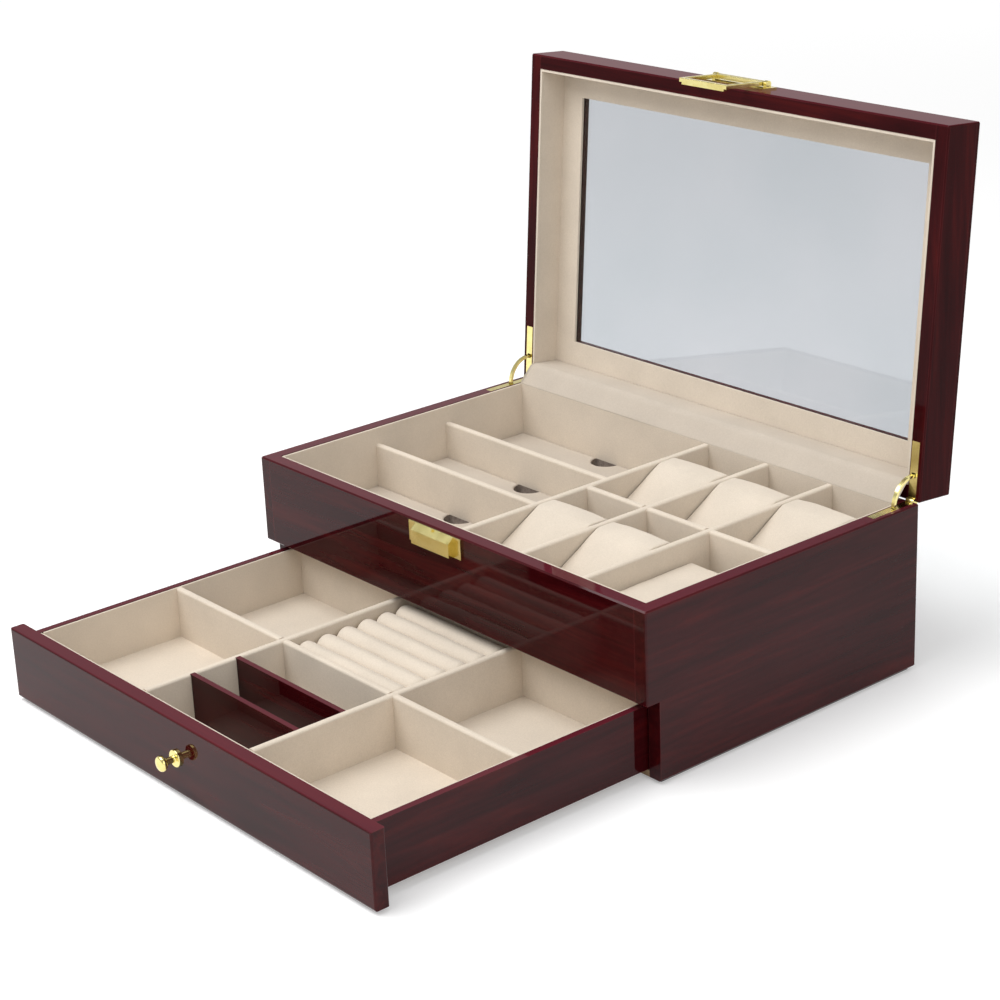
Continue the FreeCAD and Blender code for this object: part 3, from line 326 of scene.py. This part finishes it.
def velvet(name, colour):
    """Short-pile velveteen: a fine nap, faint mottling where the pile leans, and a soft sheen."""
    material, tree, shader = new_material(name)
    place = stretched(tree)
    mottle = noise_of(tree, place, **MOTTLE)
    pile = noise_of(tree, place, **PILE)
    weave = noise_of(tree, place, **WEAVE)
    dark, light = (tuple(min(1, c * share) for c in colour) for share in MOTTLE_SHARES)
    ground = two_tone(tree, mottle, dark, light)
    napped = multiplied(tree, ground, two_tone(tree, pile, PILE_SHADE, PLAIN, PILE_STOPS))
    woven = multiplied(tree, napped, two_tone(tree, weave, WEAVE_SHADE, PLAIN))
    tree.links.new(woven, shader.inputs["Base Color"])
    set_inputs(shader, VELVET_INPUTS)
    bumped(tree, pile, *PILE_BUMP, shader.inputs["Normal"])
    return material


DULL_BRASS = (0.78, 0.66, 0.24)
BRIGHT_BRASS = (0.92, 0.82, 0.38)
BRASS_WEAR = {"scale": 160, "detail": 5, "rough": 0.65}
BRASS_ROUGH = (0.1, 0.24)
BRASS_DENTS = {"scale": 420, "detail": 2}
BRASS_BUMP = (0.06, 0.1 * MM)


def brass():
    """Polished brass plate with faint wear."""
    material, tree, shader = new_material("brass")
    place = stretched(tree)
    wear = noise_of(tree, place, **BRASS_WEAR)
    colour = two_tone(tree, wear, DULL_BRASS, BRIGHT_BRASS)
    tree.links.new(colour, shader.inputs["Base Color"])
    shader.inputs["Metallic"].default_value = 1
    tree.links.new(mapped(tree, wear, (0, 1), BRASS_ROUGH), shader.inputs["Roughness"])
    dents = noise_of(tree, place, **BRASS_DENTS)
    bumped(tree, dents, *BRASS_BUMP, shader.inputs["Normal"])
    return material


HAZE = {"scale": 6, "detail": 2}
DARK_HAZE = (0.49, 0.52, 0.55)
LIGHT_HAZE = (0.57, 0.58, 0.61)
GLASS_INPUTS = {"Transmission Weight": 1, "Roughness": 0.02, "IOR": 1.47}
GLASS_SHADOW = (0.88, 0.9, 0.9, 1)


def glass():
    """A pane with a faint grey haze; light passes it, so it throws no hard shadow."""
    material, tree, shader = new_material("glass")
    haze = noise_of(tree, stretched(tree), **HAZE)
    colour = two_tone(tree, haze, DARK_HAZE, LIGHT_HAZE)
    tree.links.new(colour, shader.inputs["Base Color"])
    set_inputs(shader, GLASS_INPUTS)
    paths = tree.nodes.new("ShaderNodeLightPath")
    clear = tree.nodes.new("ShaderNodeBsdfTransparent")
    clear.inputs["Color"].default_value = GLASS_SHADOW
    mix = tree.nodes.new("ShaderNodeMixShader")
    tree.links.new(paths.outputs["Is Shadow Ray"], mix.inputs["Fac"])
    tree.links.new(shader.outputs["BSDF"], mix.inputs[1])
    tree.links.new(clear.outputs["BSDF"], mix.inputs[2])
    tree.links.new(mix.outputs["Shader"], tree.nodes["Material Output"].inputs["Surface"])
    return material


FIBRES = {"detail": 6, "rough": 0.65}
FIBRE_BUMP = (0.3, 0.2 * MM)
FIBRE_SPECULAR = 0.15


def fibrous(name, dark, light, scale, rough=0.9):
    """Felt, card or bare board: a matt mottled surface."""
    material, tree, shader = new_material(name)
    grain = noise_of(tree, stretched(tree), scale, **FIBRES)
    tree.links.new(two_tone(tree, grain, dark, light), shader.inputs["Base Color"])
    set_inputs(shader, {"Roughness": rough, "Specular IOR Level": FIBRE_SPECULAR})
    bumped(tree, grain, *FIBRE_BUMP, shader.inputs["Normal"])
    return material


FLOOR_SIZE = 40
FLOOR_INPUTS = {"Base Color": (0.8, 0.8, 0.8, 1), "Roughness": 1, "Specular IOR Level": 0,
                "Emission Color": WHITE}
FLOOR_LIFT = 0.27
FAR_LIFT = 0.5
FAR_FROM = (0.9, 2.6)


def floor_material():
    """A pale floor that keeps the box's shadow and is seen as near white, more so far off."""
    material, tree, shader = new_material("floor")
    set_inputs(shader, FLOOR_INPUTS)
    place = tree.nodes.new("ShaderNodeTexCoord")
    distance = tree.nodes.new("ShaderNodeVectorMath")
    distance.operation = "LENGTH"
    tree.links.new(place.outputs["Object"], distance.inputs[0])
    far = mapped(tree, distance.outputs["Value"], FAR_FROM, (FLOOR_LIFT, FAR_LIFT), smooth=True)
    lift = combined(tree, "MULTIPLY", seen_white(tree), far)
    tree.links.new(lift, shader.inputs["Emission Strength"])
    return material


CREAM = (0.745, 0.655, 0.545)
WHITE_CREAM = (0.73, 0.645, 0.54)
# Painted shade: a darker copy of the cream velvet for the tray's glasses pads and the hinge flap,
# which take less light.
SHADED_PAD_CREAM = (0.575, 0.505, 0.426)
LACQUERS = {axis: lacquer(f"lacquer_along_{axis}", axis, CASE_GLOSS) for axis in "xyz"}
LID_LACQUERS = {axis: lacquer(f"lid_lacquer_along_{axis}", axis, LID_GLOSS) for axis in "xz"}
VELVET = velvet("velvet", CREAM)
PILLOW_VELVET = velvet("pillow_velvet", WHITE_CREAM)
SHADED_PAD_VELVET = velvet("shaded_pad_velvet", SHADED_PAD_CREAM)
BRASS = brass()
GLASS = glass()
FELT = fibrous("felt", dark=(0.012, 0.008, 0.008), light=(0.03, 0.02, 0.018), scale=900)
CARD = fibrous("card", dark=(0.16, 0.12, 0.1), light=(0.3, 0.25, 0.21), scale=500)
BOARD = fibrous("bare_board", dark=(0.3, 0.2, 0.12), light=(0.46, 0.33, 0.2), scale=120,
                rough=0.7)


# ---------------------------------------------------------------- stage
def add_floor():
    bpy.ops.mesh.primitive_plane_add(size=FLOOR_SIZE)
    floor = bpy.context.object
    floor.name = "floor"
    floor.data.materials.append(floor_material())


# ---------------------------------------------------------------- CAD nodes
GRAIN = {
    "x": ("case_front_panel", "case_back_panel", "drawer_front", "drawer_back",
          "lid_rail_front", "lid_rail_rear", "lid_top_panel", "slot_board_1", "slot_board_2"),
    "y": ("case_side_left", "case_side_right", "drawer_side_left", "drawer_side_right"),
    "z": ("lid_rail_left", "lid_rail_right"),
}
BY_SLOT = {"velvet": VELVET, "brass": BRASS, "glass": GLASS, "felt": FELT, "plain_wood": BOARD}


def dress_nodes():
    """Give every CAD node its material: lacquer by the run of its grain, the rest by slot."""
    lacquered = {node: (LID_LACQUERS if node.startswith("lid_") else LACQUERS)[axis]
                 for axis, group in GRAIN.items() for node in group}
    for part in frame["record"]["subparts"]:
        node = part["node"]
        material = lacquered.get(node) or BY_SLOT[part["material_slot"]]
        mesh = frame["nodes"][node].data
        mesh.materials.clear()
        mesh.materials.append(material)


# ---------------------------------------------------------------- soft goods
def mesh_piece(name, bm, body, materials):
    """A smooth-shaded piece that rides on a body, where one is given."""
    mesh = bpy.data.meshes.new(name)
    bmesh.ops.recalc_face_normals(bm, faces=bm.faces)
    bm.to_mesh(mesh)
    bm.free()
    piece = bpy.data.objects.new(name, mesh)
    bpy.context.collection.objects.link(piece)
    for material in materials:
        mesh.materials.append(material)
    for face in mesh.polygons:
        face.use_smooth = True
    if body:
        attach(piece, body)
    return piece


SHARPEST_SPREAD = 0.5


def inset_loop(points, amount):
    """An anticlockwise loop of 2-D points moved inwards by an amount."""
    moved = []
    count = len(points)
    for i, point in enumerate(points):
        first = (point - points[i - 1]).normalized()
        second = (points[(i + 1) % count] - point).normalized()
        normal = Vector((-(first.y + second.y), first.x + second.x)).normalized()
        spread = max(SHARPEST_SPREAD, normal.dot(Vector((-first.y, first.x))))
        moved.append(point + normal * (amount / spread))
    return moved


ARC_STEPS = 7


def rounded_loop(corners, spacing):
    """Corners (x, y, radius) of an anticlockwise outline, with true arcs and divided runs."""
    loop = []
    count = len(corners)
    for i, (x, y, radius) in enumerate(corners):
        here = Vector((x, y))
        back = (Vector(corners[i - 1][:2]) - here).normalized()
        ahead = (Vector(corners[(i + 1) % count][:2]) - here).normalized()
        half = back.angle(ahead) / 2
        centre = here + (back + ahead).normalized() * (radius / math.sin(half))
        spoke = here + back * (radius / math.tan(half)) - centre
        last = here + ahead * (radius / math.tan(half)) - centre
        turn = spoke.angle_signed(last)
        loop += [centre + Matrix.Rotation(-turn * k / ARC_STEPS, 2) @ spoke
                 for k in range(ARC_STEPS + 1)]
    return divided(loop, spacing)


def divided(loop, spacing):
    """The same loop with its long runs divided."""
    out = []
    for i, point in enumerate(loop):
        after = loop[(i + 1) % len(loop)]
        parts = max(1, round((after - point).length / spacing))
        out += [point.lerp(after, k / parts) for k in range(parts)]
    return out


def bridge(bm, first, second, material=0):
    for i, vert in enumerate(first):
        j = (i + 1) % len(first)
        face = bm.faces.new((vert, first[j], second[j], second[i]))
        face.material_index = material


SEED_STEP = (7.3, 3.1, 5.7)


def ruffle(bm, amount, scale, seed):
    """Small unevenness over a soft piece."""
    bm.normal_update()
    shift = Vector([seed * step for step in SEED_STEP])
    for vert in bm.verts:
        vert.co += vert.normal * noise.noise(vert.co * scale + shift) * amount


CARD_FACES = 1
SWELL_PRESSURE = 4
SWELL_FRAMES = 20
SWELL_HELD = 1 * MM
SWELL_CAP = 0.8 * MM
TINY = 1e-9


def swell(piece):
    """Blow a cover out as its foam does, by a cloth simulation whose shape is kept.

    The dark card faces and the foot are held. The farthest point moves by the cap at most,
    and the rest in proportion.
    """
    mesh = piece.data
    base = min(v.co.z for v in mesh.vertices) + SWELL_HELD
    held = {i for face in mesh.polygons if face.material_index == CARD_FACES for i in face.vertices}
    held |= {v.index for v in mesh.vertices if v.co.z < base}
    group = piece.vertex_groups.new(name="held")
    group.add(list(held), 1, "REPLACE")
    cloth = piece.modifiers.new("cloth", "CLOTH")
    cloth.settings.use_pressure = True
    cloth.settings.uniform_pressure_force = SWELL_PRESSURE
    cloth.settings.effector_weights.gravity = 0
    cloth.settings.vertex_group_mass = group.name
    for step in range(1, SWELL_FRAMES + 1):
        bpy.context.scene.frame_set(step)
    blown = piece.evaluated_get(bpy.context.evaluated_depsgraph_get()).data
    moves = [after.co - before.co for before, after in zip(mesh.vertices, blown.vertices)]
    piece.modifiers.remove(cloth)
    piece.vertex_groups.remove(group)
    share = min(1, SWELL_CAP / max(TINY, max(move.length for move in moves)))
    for vert, move in zip(mesh.vertices, moves):
        vert.co += move * share
    bpy.context.scene.frame_set(1)


PILLOW_SLOPE = 29.6
PILLOW_CREST_RADIUS = 7 * MM
PILLOW_FRONT = 3.5 * MM
PILLOW_SEAM = 1.1 * MM
PILLOW_CROWN = 0.7 * MM
PILLOW_OPEN_DEPTH = 1.6 * MM
PILLOW_COVER_EDGE = 0.35 * MM
PILLOW_CELLS = 14
PILLOW_SPACING = 4 * MM
PILLOW_FRONT_RADIUS = 1.1 * MM
PILLOW_FOOT_RADIUS = 1.5 * MM
PILLOW_BACK_RADIUS = 6 * MM
PILLOW_RUFFLE = (0.3 * MM, 95)
FOOT_HEIGHT = 4 * MM
ROUND_STEPS = 4
CAP_SHARES = (0.7, 0.35)


def watch_pillow(node, seed):
    """A wedge of foam in a velvet sleeve whose two ends are recessed and closed in dark card."""
    low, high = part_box(node)
    crest = low.y + (high.z - low.z - PILLOW_FRONT) / math.tan(math.radians(PILLOW_SLOPE))
    loop = rounded_loop([
        (low.y, low.z, PILLOW_FRONT_RADIUS), (high.y, low.z, PILLOW_FOOT_RADIUS),
        (high.y, high.z, PILLOW_BACK_RADIUS), (crest, high.z, PILLOW_CREST_RADIUS),
        (low.y, low.z + PILLOW_FRONT, PILLOW_FRONT_RADIUS),
    ], PILLOW_SPACING)
    bm = bmesh.new()

    def ring(inset, along):
        """A section of the cover, drawn in towards its ends except at the foot."""
        share = (along - low.x) / (high.x - low.x)
        # The second loop lies one metre further in, so each difference is a unit pull.
        loops = zip(inset_loop(loop, inset), inset_loop(loop, inset + 1))
        verts = []
        for point, deeper in loops:
            weight = min(1, (point.y - low.z) / FOOT_HEIGHT)
            pull = PILLOW_CROWN * weight * (1 - 4 * share * (1 - share))
            place = point + (deeper - point) * pull
            verts.append(bm.verts.new((along, place.x, place.y)))
        return verts

    quarter = [math.pi / 2 * k / ROUND_STEPS for k in range(ROUND_STEPS + 1)]
    steps = [(PILLOW_SEAM * (1 - math.sin(a)), PILLOW_SEAM * (1 - math.cos(a))) for a in quarter]
    inner = high.x - low.x - 2 * PILLOW_SEAM
    rings = [ring(inset, low.x + along) for inset, along in steps]
    rings += [ring(0, low.x + PILLOW_SEAM + inner * k / PILLOW_CELLS)
              for k in range(1, PILLOW_CELLS)]
    rings += [ring(inset, high.x - along) for inset, along in reversed(steps)]
    for first, second in zip(rings, rings[1:]):
        bridge(bm, first, second)
    lip = PILLOW_SEAM + PILLOW_COVER_EDGE
    for outer, inward in ((rings[0], low.x + PILLOW_OPEN_DEPTH),
                          (rings[-1], high.x - PILLOW_OPEN_DEPTH)):
        recess = ring(lip, inward)
        bridge(bm, outer, recess, CARD_FACES)
        close_end(bm, recess)
    ruffle(bm, *PILLOW_RUFFLE, seed)
    piece = mesh_piece(f"{node}_cover", bm, "case", (PILLOW_VELVET, CARD))
    swell(piece)
    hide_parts(node)


def close_end(bm, ring):
    """Close a recessed end with smaller and smaller copies of its ring."""
    centre = sum((v.co for v in ring), Vector()) / len(ring)
    outer = ring
    for share in CAP_SHARES:
        inner = [bm.verts.new(centre.lerp(v.co, share)) for v in ring]
        bridge(bm, outer, inner, CARD_FACES)
        outer = inner
    middle = bm.verts.new(centre)
    for i, vert in enumerate(outer):
        face = bm.faces.new((vert, outer[(i + 1) % len(outer)], middle))
        face.material_index = CARD_FACES


SLAB_GRID = 5 * MM
SLAB_RINGS = (0.15, 0.4, 0.75, 1.1)
SLAB_CLEAR = 0.5
SLAB_MERGE = 1e-7


def slab(outline, low_z, high_z, soft, crown, reach):
    """A foam pad under cloth: straight sides, rolled edges and a top that is crowned near them.

    soft is the radius of the rolled edge, crown how far the top sinks towards it and reach
    how far from the edge it starts to.
    """
    bm = bmesh.new()
    rows = [outline] + [inset_loop(outline, soft * share) for share in SLAB_RINGS]
    points = [point for row in rows for point in row]
    xs, ys = [p.x for p in outline], [p.y for p in outline]
    across = max(2, round((max(xs) - min(xs)) / SLAB_GRID))
    along = max(2, round((max(ys) - min(ys)) / SLAB_GRID))
    for i in range(1, across):
        for j in range(1, along):
            spot = Vector((min(xs) + (max(xs) - min(xs)) * i / across,
                           min(ys) + (max(ys) - min(ys)) * j / along))
            clear = gap_to(outline, spot) > soft * (SLAB_RINGS[-1] + SLAB_CLEAR)
            if clear and inside(outline, spot):
                points.append(spot)
    edges = [(i, (i + 1) % len(outline)) for i in range(len(outline))]
    flat, _, faces, *_ = geometry.delaunay_2d_cdt(points, edges, [], 1, SLAB_MERGE)

    def height(spot):
        gap = gap_to(outline, spot)
        roll = max(0.0, 1 - gap / soft)
        return high_z - soft * (1 - math.sqrt(1 - roll * roll)) - crown * math.exp(-gap / reach)

    top = [bm.verts.new((spot.x, spot.y, height(spot))) for spot in flat]
    for face in faces:
        bm.faces.new([top[i] for i in face])
    rim = top[:len(outline)]
    mid_z = (low_z + rim[0].co.z) / 2
    middle = [bm.verts.new((p.x, p.y, mid_z)) for p in outline]
    foot = [bm.verts.new((p.x, p.y, low_z)) for p in outline]
    bridge(bm, rim, middle)
    bridge(bm, middle, foot)
    bm.faces.new(foot)
    return bm


def gap_to(outline, spot):
    """The distance from a spot to an outline."""
    best = None
    for i, point in enumerate(outline):
        run = outline[i - 1] - point
        share = min(1, max(0, (spot - point).dot(run) / run.length_squared))
        gap = (point + run * share - spot).length
        best = gap if best is None else min(best, gap)
    return best


def inside(outline, spot):
    """Whether a spot lies within an outline."""
    crossings = 0
    for i, point in enumerate(outline):
        before = outline[i - 1]
        if (before.y > spot.y) != (point.y > spot.y):
            at = before.x + (spot.y - before.y) / (point.y - before.y) * (point.x - before.x)
            crossings += at > spot.x
    return crossings % 2 == 1


def oblong(low, high, radius):
    """The corners of an upright oblong outline, seen from above."""
    return [(low.x, low.y, radius), (high.x, low.y, radius),
            (high.x, high.y, radius), (low.x, high.y, radius)]


NOTCH_RADIUS = 9.5 * MM
NOTCH_OFF = 3 * MM
NOTCH_STEPS = 18
NOTCH_CLEAR = 1 * MM
PAD_CORNER = 1.6 * MM
PAD_EDGE = 1.3 * MM
PAD_SPACING = 4 * MM
PAD_CROWN = (0.5 * MM, 7 * MM)
PAD_RUFFLE = (0.35 * MM, 60)
# A dark card sleeve in the notch: bare card, with painted shade for the shadow deep in the notch.
NOTCH_LINER = 0.3 * MM
NOTCH_LINER_BACK = 0.1 * MM
NOTCH_LINER_FLOOR = 1 * MM
NOTCH_LINER_DROP = 1.2 * MM


def glasses_pad(node, seed):
    """A velvet pad with a half-round finger notch at its back edge, lined in dark card: bare card,
    darkened as painted shade in the notch.
    """
    low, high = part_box(node)
    middle = (low.x + high.x) / 2 - NOTCH_OFF
    outline = rounded_loop(oblong(low, high, PAD_CORNER), PAD_SPACING)
    arc = notch_arc(middle, high.y, NOTCH_RADIUS)
    at_notch = [p.y > high.y - PAD_EDGE and abs(p.x - middle) < NOTCH_RADIUS + NOTCH_CLEAR
                for p in outline]
    kept = [p for p, covered in zip(outline, at_notch) if not covered]
    first = at_notch.index(True)
    outline = kept[:first] + arc + kept[first:]
    bm = slab(outline, low.z, high.z, PAD_EDGE, *PAD_CROWN)
    ruffle_top(bm, *PAD_RUFFLE, seed, low.z)
    add_notch_shade_liner(bm, middle, high, low)
    # The pads take the darker copy of the velvet: painted shade.
    piece = mesh_piece(f"{node}_cover", bm, "case", (SHADED_PAD_VELVET, CARD))
    swell(piece)
    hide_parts(node)


def notch_arc(middle, back, radius):
    """A half circle round the middle of a pad's back edge, seen from above."""
    angles = [math.pi * k / NOTCH_STEPS for k in range(NOTCH_STEPS + 1)]
    return [Vector((middle + radius * math.cos(a), back - radius * math.sin(a)))
            for a in angles]


def ruffle_top(bm, amount, scale, seed, low_z):
    """Unevenness of the top only, so that the foot stays flat."""
    shift = Vector([seed * step for step in SEED_STEP[:2]] + [0])
    for vert in bm.verts:
        if vert.co.z > low_z:
            vert.co.z -= amount * (1 + noise.noise(vert.co * scale + shift)) / 2


def add_notch_shade_liner(bm, middle, high, low):
    """A dark half-round sleeve in card just inside the notch and across its back: bare card, and
    painted shade for the shadow deep in the notch.
    """
    arc = notch_arc(middle, high.y - NOTCH_LINER_BACK, NOTCH_RADIUS - NOTCH_LINER)
    top, floor_z = high.z - NOTCH_LINER_DROP, low.z + NOTCH_LINER_FLOOR
    upper = [bm.verts.new((x, y, top)) for x, y in arc]
    lower = [bm.verts.new((x, y, floor_z)) for x, y in arc]
    bridge(bm, upper, lower, CARD_FACES)
    floor = bm.faces.new(lower)
    floor.material_index = CARD_FACES


CUSHION_CORNER = 2.4 * MM
CUSHION_SPACING = 3 * MM
CUSHION_EDGE = 2 * MM
CUSHION_CROWN = (0.8 * MM, 9 * MM)
CUSHION_RUFFLE = (0.5 * MM, 70)


def flat_pillow(node, seed):
    """A square-cut cushion with crisp seamed edges and a slightly crowned top."""
    low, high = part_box(node)
    outline = rounded_loop(oblong(low, high, CUSHION_CORNER), CUSHION_SPACING)
    bm = slab(outline, low.z, high.z, CUSHION_EDGE, *CUSHION_CROWN)
    ruffle_top(bm, *CUSHION_RUFFLE, seed, low.z)
    piece = mesh_piece(f"{node}_cover", bm, "case", (PILLOW_VELVET,))
    swell(piece)
    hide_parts(node)


ROLLS = 6
ROLL_RADIUS = 7.3 * MM
ROLL_END = 4.2 * MM
ROLL_PROUD = 5 * MM
ROLL_SEGMENTS = 28
ROLL_CELLS = 26
ROLL_END_SHARE = 0.02
ROLL_RUFFLE = (0.35 * MM, 85)
ROLL_SEED_STEP = 9.7
ROLL_SINK = 0.5
ROLL_BED_DROP = 1.2 * MM
ROLL_BED_SPACING = 3.5 * MM
ROLL_BED_EDGE = 1.6 * MM
ROLL_BED_CROWN = (0.3 * MM, 5 * MM)


def ring_rolls(node):
    """Six velvet rolls side by side on a padded bed."""
    low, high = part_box(node)
    centre_z = high.z + ROLL_PROUD - ROLL_RADIUS
    bed = rounded_loop(oblong(low, high, CUSHION_CORNER), ROLL_BED_SPACING)
    bm = slab(bed, low.z, centre_z - ROLL_BED_DROP, ROLL_BED_EDGE, *ROLL_BED_CROWN)
    pitch = (high.y - low.y - 2 * ROLL_RADIUS) / (ROLLS - 1)
    for k in range(ROLLS):
        one_roll(bm, low, high, low.y + ROLL_RADIUS + pitch * k, centre_z, k)
    piece = mesh_piece(f"{node}_cover", bm, "drawer", (PILLOW_VELVET,))
    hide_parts(node)


def one_roll(bm, low, high, centre_y, centre_z, seed):
    """One roll from side to side of the cushion, with rounded ends."""
    amount, scale = ROLL_RUFFLE
    shift = Vector((seed * ROLL_SEED_STEP, 0, 0))
    rings = []
    length = high.x - low.x
    for k in range(ROLL_CELLS + 1):
        way = (1 - math.cos(math.pi * k / ROLL_CELLS)) / 2
        x = low.x + length * way
        gap = min(x - low.x, high.x - x)
        dome = max(0.0, 1 - gap / ROLL_END)
        radius = ROLL_RADIUS * math.sqrt(max(ROLL_END_SHARE, 1 - dome ** 2))
        rings.append([])
        for s in range(ROLL_SEGMENTS):
            angle = 2 * math.pi * s / ROLL_SEGMENTS
            spot = Vector((x, centre_y + radius * math.cos(angle),
                           centre_z + radius * math.sin(angle)))
            lift = noise.noise(spot * scale + shift) - ROLL_SINK
            spot += Vector((0, math.cos(angle), math.sin(angle))) * lift * amount
            rings[-1].append(bm.verts.new(spot))
    for first, second in zip(rings, rings[1:]):
        bridge(bm, first, second)
    for end in (rings[0], rings[-1]):
        middle = bm.verts.new(sum((v.co for v in end), Vector()) / ROLL_SEGMENTS)
        for s, vert in enumerate(end):
            bm.faces.new((vert, end[(s + 1) % ROLL_SEGMENTS], middle))


FLAP_HALF = 156.2 * MM
FLAP_START = Vector((93.4 * MM, 99.3 * MM))
FLAP_BEND = Vector((103.6 * MM, 110.3 * MM))
FLAP_END = Vector((123.1 * MM, 108.15 * MM))
FLAP_BEND_RADIUS = 7 * MM
FLAP_CELLS = 30
FLAP_ACROSS = 90
FLAP_THICK = 0.4 * MM
FLAP_WAVE = 0.22 * MM
FLAP_WAVE_SCALE = (22, 60)
FLAP_WAVE_SEED = 3.1


def hinge_flap(node):
    """The velvet strip that closes the gap behind the tray and runs on over the lid's lining."""
    path = bent_path((FLAP_START, FLAP_BEND, FLAP_END), FLAP_BEND_RADIUS)
    bm = bmesh.new()
    rings = []
    for k in range(FLAP_ACROSS + 1):
        x = -FLAP_HALF + 2 * FLAP_HALF * k / FLAP_ACROSS
        face = []
        for point in path:
            along, across = x * FLAP_WAVE_SCALE[0], point.x * FLAP_WAVE_SCALE[1]
            rise = noise.noise(Vector((along, across, FLAP_WAVE_SEED))) * FLAP_WAVE
            face.append((x, point.x, point.y + rise))
        under = [(x, y, z - FLAP_THICK) for x, y, z in reversed(face)]
        rings.append([bm.verts.new(spot) for spot in face + under])
    for first, second in zip(rings, rings[1:]):
        bridge(bm, first, second)
    count = len(path)
    for ring in (rings[0], rings[-1]):
        for i in range(count - 1):
            bm.faces.new((ring[i], ring[i + 1], ring[-i - 2], ring[-i - 1]))
    # The flap takes the darker copy of the velvet: painted shade.
    piece = mesh_piece(f"{node}_cloth", bm, None, (SHADED_PAD_VELVET,))
    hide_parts(node)
    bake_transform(piece)


def bent_path(corners, radius):
    """Points along two runs joined by an arc."""
    start, bend, end = corners
    back, ahead = (start - bend).normalized(), (end - bend).normalized()
    half = back.angle(ahead) / 2
    reach = radius / math.tan(half)
    centre = bend + (back + ahead).normalized() * (radius / math.sin(half))
    spoke, last = bend + back * reach - centre, bend + ahead * reach - centre
    turn = spoke.angle_signed(last)
    arc = [centre + Matrix.Rotation(-turn * k / ARC_STEPS, 2) @ spoke
           for k in range(ARC_STEPS + 1)]
    runs = max(2, FLAP_CELLS // 3)
    climb = [start.lerp(arc[0], k / runs) for k in range(runs)]
    lap = [arc[-1].lerp(end, k / runs) for k in range(1, runs + 1)]
    return climb + arc + lap


# ---------------------------------------------------------------- knob
KNOB_STEPS = 48
KNOB_SHARP = 0.01 * MM
KNOB_OUT = 11.8 * MM
KNOB_COLLAR = 1.6 * MM
KNOB_NECK = 1.9 * MM
KNOB_HEAD = 3.9 * MM
KNOB_HEAD_RADIUS = 4.3 * MM
KNOB_DOME = 1.3 * MM
KNOB_DOME_RADIUS = 1.6 * MM
KNOB_ARRIS = 0.6 * MM
KNOB_THROAT = 0.7 * MM
KNOB_SPACING = 1 * MM


def knob(node):
    """The turned knob with softened arrises and a domed face; its collar sits on the front."""
    low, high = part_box(node)
    radius = (high.x - low.x) / 2
    under_head = KNOB_OUT - KNOB_HEAD
    half = rounded_loop([
        (0, 0, KNOB_SHARP), (radius, 0, KNOB_SHARP), (radius, KNOB_COLLAR, KNOB_ARRIS),
        (KNOB_NECK, KNOB_COLLAR, KNOB_THROAT), (KNOB_NECK, under_head, KNOB_ARRIS),
        (KNOB_HEAD_RADIUS, under_head, KNOB_THROAT),
        (KNOB_HEAD_RADIUS, KNOB_OUT - KNOB_DOME, KNOB_DOME_RADIUS), (0, KNOB_OUT, KNOB_SHARP),
    ], KNOB_SPACING)
    turned = [p for p in half if p.x > 2 * KNOB_SHARP]
    centre = Vector(((low.x + high.x) / 2, low.y + KNOB_OUT, (low.z + high.z) / 2))
    bm = bmesh.new()
    rings = []
    for point in turned:
        rings.append([bm.verts.new(centre + Vector((point.x * math.cos(a), -point.y,
                                                    point.x * math.sin(a))))
                      for a in (2 * math.pi * k / KNOB_STEPS for k in range(KNOB_STEPS))])
    for first, second in zip(rings, rings[1:]):
        bridge(bm, first, second)
    bm.faces.new(rings[0])
    bm.faces.new(rings[-1])
    piece = mesh_piece(f"{node}_turned", bm, "drawer", (BRASS,))
    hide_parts(node)


# ---------------------------------------------------------------- the scene
WATCH_PILLOWS = 5
GLASSES_PADS = 3
FLAT_PILLOW_SEED = 9
for seed in range(1, WATCH_PILLOWS + 1):
    watch_pillow(f"watch_pillow_{seed}", seed)
for seed in range(1, GLASSES_PADS + 1):
    glasses_pad(f"glasses_pad_{seed}", seed)
flat_pillow("flat_pillow", FLAT_PILLOW_SEED)
ring_rolls("ring_cushion")
hinge_flap("hinge_flap")
knob("drawer_knob")

bpy.context.scene.view_settings.view_transform = "Standard"
add_camera()
light_world()
add_lamp("key", place=(-0.45, -0.85, 1.8), size=1.6, watts=36)
add_lamp("fill", place=(1.7, -0.4, 1.0), size=1.4, watts=10)
add_floor()
dress_nodes()
